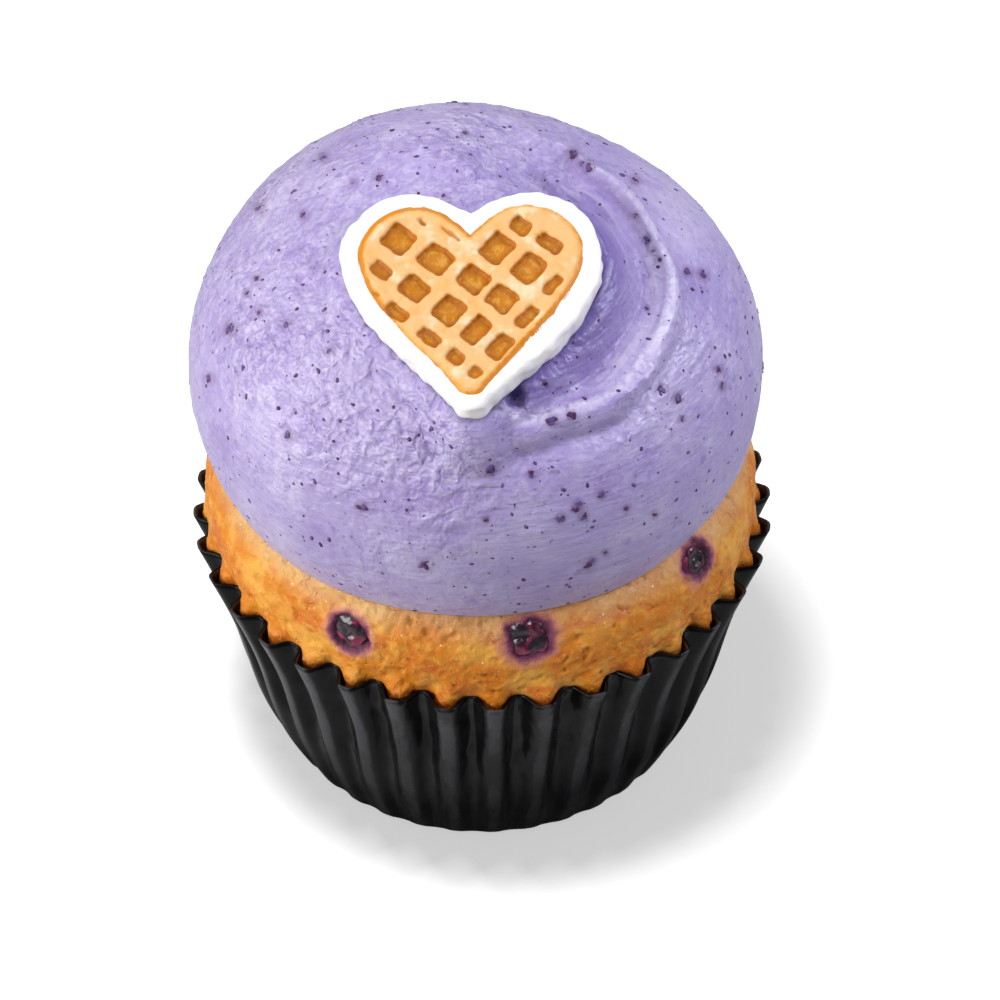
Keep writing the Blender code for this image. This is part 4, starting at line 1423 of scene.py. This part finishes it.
def along_line(points, seen, stops):
    """Distance of points from a line through stops, as the camera sees them, in metres."""
    nearest = np.full(len(points), FAR_AWAY)
    marks = seen_at(np.array(stops) * MM)
    close = np.linalg.norm(points - np.array(stops[0]) * MM, axis=1) < SIGHT_REACH
    for start, step in zip(marks, np.diff(marks, axis=0)):
        share = np.clip((seen - start) @ step / (step @ step), 0.0, 1.0)
        away = np.linalg.norm(seen - start - share[:, None] * step, axis=1)
        nearest = np.where(close, np.minimum(nearest, away), nearest)
    return nearest


def away_from(points, seen, place):
    """Distance of points from one place, as the camera sees them, in metres."""
    away = np.linalg.norm(seen - seen_at(place), axis=1)
    return np.where(np.linalg.norm(points - place, axis=1) < SIGHT_REACH, away, FAR_AWAY)


def speck_tree():
    """Geometry Nodes tree that scatters small flat specks over the open part of the frosting."""
    inputs = {name: "Float" for name in ("Density", "Smallest", "Largest")}
    inputs = {"Geometry": "Geometry", **inputs, "Seed": "Int", "Material": "Material"}
    tree, given = open_tree("frosting_specks", inputs)
    free = add_node(tree, "GeometryNodeInputNamedAttribute", {"Name": "open"}, data_type="FLOAT")
    density = Sum(tree, given["Density"]) * Sum(tree, free.outputs[0])
    inputs = {"Mesh": given["Geometry"], "Density": density, "Seed": given["Seed"]}
    scattered = add_node(tree, "GeometryNodeDistributePointsOnFaces", inputs)
    span = Sum(tree, given["Largest"]) - Sum(tree, given["Smallest"])
    radius = Sum(tree, given["Smallest"]) + span * random_number(tree, 5).math("POWER", 4.0)
    size = {"X": radius * (random_number(tree, 9) * 0.9 + 0.9), "Y": radius, "Z": radius * 0.3}
    size = add_node(tree, "ShaderNodeCombineXYZ", size)
    spin = random_number(tree, 14) * TURN
    about = add_node(tree, "ShaderNodeCombineXYZ", {"Z": spin})
    inputs = {"Rotation": scattered.outputs["Rotation"], "Rotate By": about.outputs[0]}
    turned = add_node(tree, "FunctionNodeRotateRotation", inputs, rotation_space="LOCAL")
    grain = add_node(tree, "GeometryNodeMeshIcoSphere", {"Radius": 1.0, "Subdivisions": 1})
    inputs = {
        "Points": scattered.outputs["Points"],
        "Instance": grain.outputs["Mesh"],
        "Rotation": turned.outputs[0],
        "Scale": size.outputs[0],
    }
    placed = add_node(tree, "GeometryNodeInstanceOnPoints", inputs)
    close_tree(tree, placed.outputs[0], given["Material"])
    return tree


def build_specks(frosting, mound, material):
    """The fine berry specks all over the frosting."""
    area = sum(face.area for face in mound.data.polygons if face.center.z > 45.0 * MM)
    values = {
        "Density": frosting.specks / area,
        "Smallest": SMALLEST_SPECK,
        "Largest": LARGEST_SPECK,
        "Seed": 11,
        "Material": material,
    }
    mesh = mesh_of_tree("frosting_specks", speck_tree(), values, mound.data.copy())
    return finish_piece("frosting_specks", mesh, (material,))


def build_bits(mound, material):
    """The larger bits of berry skin: each a few crumpled shards sunk into the cream."""
    surface = BVHTree.FromPolygons(
        [vertex.co for vertex in mound.data.vertices], [face.vertices for face in mound.data.polygons]
    )
    eye = Vector(CAMERA_PLACE)
    draw = np.random.default_rng(7)
    shape = bmesh.new()
    for i, bit in enumerate(all_bits(bpy.context.scene.cupcake_frosting)):
        place = Vector(bit[:3])
        hit, normal, _, _ = surface.find_nearest(place)
        if i < len(BERRY_BITS):
            hit, normal, _, _ = surface.ray_cast(eye, (place - eye).normalized())
        size = float(bit[3])
        for _ in range(BIT_SHARDS):
            made = bmesh.ops.create_icosphere(shape, subdivisions=2, radius=1.0)["verts"]
            stretch = draw.uniform(0.26, 0.62, 2)
            aside = normal.orthogonal().normalized() * size * draw.uniform(0.0, 0.7)
            aside.rotate(Matrix.Rotation(draw.uniform(0.0, TURN), 3, normal))
            turn = normal.to_track_quat("Z", "Y").to_matrix().to_4x4()
            turn = turn @ Matrix.Rotation(draw.uniform(0.0, TURN), 4, "Z")
            scale = Matrix.Diagonal((size * stretch[0], size * stretch[1], size * BIT_THICKNESS, 1.0))
            placed = Matrix.Translation(hit + aside) @ turn @ scale
            bmesh.ops.transform(shape, matrix=placed, verts=made)
    for vertex in shape.verts:
        vertex.co += noise.noise_vector(vertex.co / (0.5 * MM)) * 0.12 * MM
    mesh = bpy.data.meshes.new("berry_bits")
    shape.to_mesh(mesh)
    shape.free()
    mesh.shade_smooth()
    return finish_piece("berry_bits", mesh, (material,))


def place_in_heart(flat, height):
    """Points of the heart's own frame, moved to where the heart lies."""
    at = heart_frame()
    return np.column_stack((flat, height)) @ at[:3, :3].T + at[:3, 3]


def scaled_ring(ring, share):
    """A heart's outline, scaled about its middle."""
    return HEART_MIDDLE + (ring - HEART_MIDDLE) * share


def build_sugar(heart):
    """The white sugar heart: soft edges, a slightly wavy side, and a recess for the waffle."""
    outer = heart_ring(SUGAR_OUTLINE)
    recess = scaled_ring(heart_ring(WAFFLE_OUTLINE), 0.988)
    border = np.column_stack((recess, np.zeros(len(recess))))
    wobble = 0.16 * MM * noise_at(border, 1.6 * MM, 80.0) + 0.10 * MM * noise_at(border, 0.6 * MM, 84.0)
    recess = recess + away_from_middle(recess) * wobble[:, None]
    foot = -heart.sugar_thickness / MM
    seat = (heart.proud - heart.waffle_thickness) / MM - 0.2
    sides = [(share, foot) for share in (0.2, 0.45, 0.7, 0.88, 0.94)]
    sides += [(0.965, foot + 0.10), (0.985, foot + 0.35), (0.997, foot + 0.75), (1.0, foot + 1.1)]
    sides += [(1.0, height) for height in np.linspace(foot + 1.4, -1.15, 7)]
    for turn in np.linspace(0.1, 1.5, 9):
        sides.append((1.0 - 0.062 * (1.0 - math.cos(turn)), -0.95 * (1.0 - math.sin(turn))))
    rings = [(scaled_ring(outer, share), height) for share, height in sides]
    top = scaled_ring(outer, sides[-1][0])
    for share in (0.2, 0.4, 0.6, 0.8, 0.92, 1.0):
        rings.append((top + (recess - top) * share, -0.02 - 0.10 * max(0.0, share - 0.75) / 0.25))
    rings += [(scaled_ring(recess, 0.994), height) for height in (-0.30, -0.55, -0.85, seat)]
    rings += [(scaled_ring(recess, share), seat) for share in (0.8, 0.5, 0.2)]
    flat = np.vstack([ring for ring, _ in rings])
    height = np.repeat([height * MM for _, height in rings], len(outer))
    share = heart_share(SUGAR_OUTLINE, flat)
    around = np.column_stack((flat, height))
    side = smoothstep(0.9, 0.98, share)
    wave = 0.26 * MM * noise_at(around * (1.0, 1.0, 0.5), 3.2 * MM, 60.0)
    wave += 0.30 * MM * noise_at(around, 1.4 * MM, 66.0) - 0.10 * MM
    flat = flat + away_from_middle(flat) * (wave * side)[:, None]
    upper = smoothstep(-1.2 * MM, -0.1 * MM, height)
    height = height - upper * 0.10 * MM * (1.0 + noise_at(around, 2.4 * MM, 70.0)) * (share > 0.8)
    points = place_in_heart(flat, height)
    counts = [len(outer)] * len(rings)
    ends = place_in_heart(np.array([HEART_MIDDLE, HEART_MIDDLE]), np.array([foot * MM, seat * MM]))
    points, faces = closed_rings(counts, points, ends[0], ends[1])
    mesh = mesh_from("white_heart", points, faces)
    return finish_piece("white_heart", mesh, (white_sugar(heart),), "sugar_heart")


def pocket_depth(heart, flat):
    """For points of the waffle: depth as a share, nearness to a pocket's wall, distance to the edge."""
    turn = math.radians(POCKET_TURN)
    across = np.array((math.cos(turn), math.sin(turn)))
    along = np.array((-math.sin(turn), math.cos(turn)))
    around = np.column_stack((flat, np.zeros(len(flat))))
    wobble = 0.20 * MM * noise_at(around, 1.5 * MM, 4.0) + 0.10 * MM * noise_at(around, 0.6 * MM, 14.0)
    deep = np.zeros(len(flat))
    nearest = np.full(len(flat), FAR_AWAY)
    for x, y, wide, long, share in POCKETS:
        offset = flat - (x * MM, y * MM)
        reach = np.array((wide, long)) * 0.5 * MM - POCKET_CORNER
        beyond = np.abs(np.column_stack((offset @ across, offset @ along))) - reach
        outside = np.hypot(*np.maximum(beyond, 0.0).T)
        gap = outside + np.minimum(np.max(beyond, axis=1), 0.0) - POCKET_CORNER + wobble
        deep = np.maximum(deep, share * smoothstep(0.32 * MM, -0.22 * MM, gap))
        nearest = np.minimum(nearest, np.abs(gap + 0.1 * MM))
    ring = heart_ring(WAFFLE_OUTLINE)[::2]
    return deep, hill(nearest, 0.6 * MM), distance_to(ring, flat)


def build_waffle(heart):
    """The golden waffle heart: rows of square pockets inside a plain toasted edge."""
    outer = heart_ring(WAFFLE_OUTLINE)
    foot = heart.proud - heart.waffle_thickness
    low = [(share, foot) for share in (0.25, 0.6, 0.9, 0.985)]
    low += [(1.0, foot + 0.15 * MM), (1.0, heart.proud - 0.5 * MM), (0.997, heart.proud - 0.28 * MM)]
    top = [(share, heart.proud) for share in np.append(0.988, np.linspace(0.975, 0.012, 104))]
    rings = low + top
    flat = np.vstack([scaled_ring(outer, share) for share, _ in rings])
    height = np.repeat([height for _, height in rings], len(outer))
    upper = np.repeat([i >= len(low) for i in range(len(rings))], len(outer))
    deep, wall, to_edge = pocket_depth(heart, flat)
    around = np.column_stack((flat, np.zeros(len(flat))))
    uneven = 0.10 * MM * noise_at(around, 2.6 * MM, 5.0) + 0.04 * MM * noise_at(around, 0.7 * MM, 9.0)
    floor = 0.18 * MM * noise_at(around, 1.3 * MM, 15.0)
    edge = 0.28 * MM * hill(to_edge, 0.45 * MM) - 0.10 * MM * hill(to_edge - 1.1 * MM, 0.5 * MM)
    bearing = np.arctan2(flat[:, 1] - HEART_MIDDLE[1], flat[:, 0] - HEART_MIDDLE[0])
    browner = 0.85 + 0.22 * np.cos(2.0 * (bearing - BROWN_BEARING))
    sunk = deep * (heart.depth + floor) + edge + 0.06 * MM - uneven
    height = np.where(upper, height - np.maximum(0.0, sunk), height)
    points = place_in_heart(flat, height)
    ends = place_in_heart(np.array([HEART_MIDDLE, HEART_MIDDLE]), np.array([foot, height[-1]]))
    counts = [len(outer)] * len(rings)
    points, faces = closed_rings(counts, points, ends[0], ends[1])
    attributes = {
        "pocket": np.append(deep * upper, (0.0, deep[-1])),
        "wall": np.append(wall, (0.0, wall[-1])),
        "rim": np.append(hill(to_edge, 1.0 * MM) * browner, (1.0, 0.0)),
    }
    mesh = mesh_from("waffle_top", points, faces, attributes)
    crust = golden_waffle(heart)
    return finish_piece("waffle_top", mesh, (crust,), "waffle_heart")


def add_area_light(name, watts, round_degrees, up_degrees, size):
    """A square soft light, so many degrees round from the front and up, turned to the cupcake."""
    light = bpy.data.lights.new(name, "AREA")
    light.energy = watts
    light.size = size
    lamp = bpy.data.objects.new(name, light)
    bpy.context.scene.collection.objects.link(lamp)
    reach = LIGHT_DISTANCE * math.cos(math.radians(up_degrees))
    height = LIGHT_DISTANCE * math.sin(math.radians(up_degrees))
    away = Vector(polar(math.radians(round_degrees), reach, height))
    lamp.location = Vector(LIGHT_AIM) + away
    lamp.rotation_euler = (-away).to_track_quat("-Z", "Y").to_euler()
    return lamp


def build_stage(stage):
    """A pale floor, even light from all round, a soft key light from the left, and the camera."""
    scene = bpy.context.scene
    scene.view_settings.view_transform = "Standard"
    bpy.ops.mesh.primitive_plane_add(size=FLOOR_SIZE)
    floor = bpy.context.object
    floor.name = "floor"
    floor.data.materials.append(pale_floor(stage))
    world = bpy.data.worlds.new("studio")
    scene.world = world
    world.use_nodes = True
    backdrop = world.node_tree.nodes["Background"]
    backdrop.inputs["Color"].default_value = (1.0, 1.0, 1.0, 1.0)
    backdrop.inputs["Strength"].default_value = stage.sky
    lit = bpy.data.collections.new("lit_pieces")
    lit.objects.link(floor)
    lit.collection_objects[0].light_linking.link_state = "EXCLUDE"
    for name, (round_degrees, up_degrees, tint) in LIGHTS.items():
        lamp = add_area_light(name, getattr(stage, name), round_degrees, up_degrees, LIGHT_SIZE)
        lamp.data.color = tint
        lamp.light_linking.receiver_collection = lit
    ground = bpy.data.collections.new("lit_floor")
    ground.objects.link(floor)
    lamp = add_area_light("overhead", stage.overhead, *OVERHEAD_BEARINGS, OVERHEAD_SIZE)
    lamp.light_linking.receiver_collection = ground
    camera = bpy.data.cameras.new("camera")
    camera.sensor_width = 36.0
    camera.lens = CAMERA_LENS
    camera.clip_start = 0.01
    viewer = bpy.data.objects.new("camera", camera)
    scene.collection.objects.link(viewer)
    ahead = Vector(CAMERA_AIM) - Vector(CAMERA_PLACE)
    viewer.location = CAMERA_PLACE
    viewer.rotation_euler = ahead.to_track_quat("-Z", "Y").to_euler()
    scene.camera = viewer


class CUPCAKE_OT_stage(bpy.types.Operator):
    """Sets up the floor, the light and the camera"""

    bl_idname = "cupcake.stage"
    bl_label = "Stage"

    def execute(self, context):
        build_stage(context.scene.cupcake_stage)
        return {"FINISHED"}


class CUPCAKE_OT_case(bpy.types.Operator):
    """Builds the pleated paper case"""

    bl_idname = "cupcake.case"
    bl_label = "Paper case"

    def execute(self, context):
        build_case(context.scene.cupcake_case)
        return {"FINISHED"}


class CUPCAKE_OT_cake(bpy.types.Operator):
    """Builds the cake"""

    bl_idname = "cupcake.cake"
    bl_label = "Cake"

    def execute(self, context):
        build_cake(context.scene.cupcake_case, context.scene.cupcake_cake)
        return {"FINISHED"}


class CUPCAKE_OT_berries(bpy.types.Operator):
    """Builds the blueberries in the cake"""

    bl_idname = "cupcake.berries"
    bl_label = "Blueberries"

    def execute(self, context):
        skin = berry_skin(context.scene.cupcake_cake)
        for name in BERRIES:
            build_berry(name, skin)
        return {"FINISHED"}


class CUPCAKE_OT_frosting(bpy.types.Operator):
    """Builds the frosting and the berry specks in it"""

    bl_idname = "cupcake.frosting"
    bl_label = "Frosting"

    def execute(self, context):
        frosting = context.scene.cupcake_frosting
        mound = build_frosting(frosting, context.scene.cupcake_heart)
        material = berry_speck(frosting)
        build_specks(frosting, mound, material)
        build_bits(mound, material)
        return {"FINISHED"}


class CUPCAKE_OT_sugar(bpy.types.Operator):
    """Builds the white sugar heart"""

    bl_idname = "cupcake.sugar_heart"
    bl_label = "Sugar heart"

    def execute(self, context):
        build_sugar(context.scene.cupcake_heart)
        return {"FINISHED"}


class CUPCAKE_OT_waffle(bpy.types.Operator):
    """Builds the golden waffle heart"""

    bl_idname = "cupcake.waffle_heart"
    bl_label = "Waffle heart"

    def execute(self, context):
        build_waffle(context.scene.cupcake_heart)
        return {"FINISHED"}


GROUPS = {
    "cupcake_stage": StageSettings,
    "cupcake_case": CaseSettings,
    "cupcake_cake": CakeSettings,
    "cupcake_frosting": FrostingSettings,
    "cupcake_heart": HeartSettings,
}
OPERATORS = (
    CUPCAKE_OT_stage,
    CUPCAKE_OT_case,
    CUPCAKE_OT_cake,
    CUPCAKE_OT_berries,
    CUPCAKE_OT_frosting,
    CUPCAKE_OT_sugar,
    CUPCAKE_OT_waffle,
)


class CUPCAKE_PT_pieces(bpy.types.Panel):
    """Lists the cupcake's pieces and their settings"""

    bl_idname = "CUPCAKE_PT_pieces"
    bl_label = "Blueberry Cupcake"
    bl_space_type = "VIEW_3D"
    bl_region_type = "UI"
    bl_category = "Cupcake"

    def draw(self, context):
        for operator in OPERATORS:
            self.layout.operator(operator.bl_idname)
        for key, group in GROUPS.items():
            box = self.layout.box()
            box.label(text=group.__doc__)
            for name in group.__annotations__:
                box.prop(getattr(context.scene, key), name)


def register():
    """Registers the settings, the operators and the panel."""
    for key, group in GROUPS.items():
        bpy.utils.register_class(group)
        setattr(bpy.types.Scene, key, PointerProperty(type=group))
    for kind in (*OPERATORS, CUPCAKE_PT_pieces):
        bpy.utils.register_class(kind)


def unregister():
    """Takes the panel, the operators and the settings away again."""
    for kind in (CUPCAKE_PT_pieces, *reversed(OPERATORS)):
        bpy.utils.unregister_class(kind)
    for key, group in GROUPS.items():
        delattr(bpy.types.Scene, key)
        bpy.utils.unregister_class(group)


def main():
    """Builds the stage and every piece."""
    register()
    bpy.ops.cupcake.stage()
    bpy.ops.cupcake.case()
    bpy.ops.cupcake.cake()
    bpy.ops.cupcake.berries()
    bpy.ops.cupcake.frosting()
    bpy.ops.cupcake.sugar_heart()
    bpy.ops.cupcake.waffle_heart()


if __name__ == "__main__":
    main()
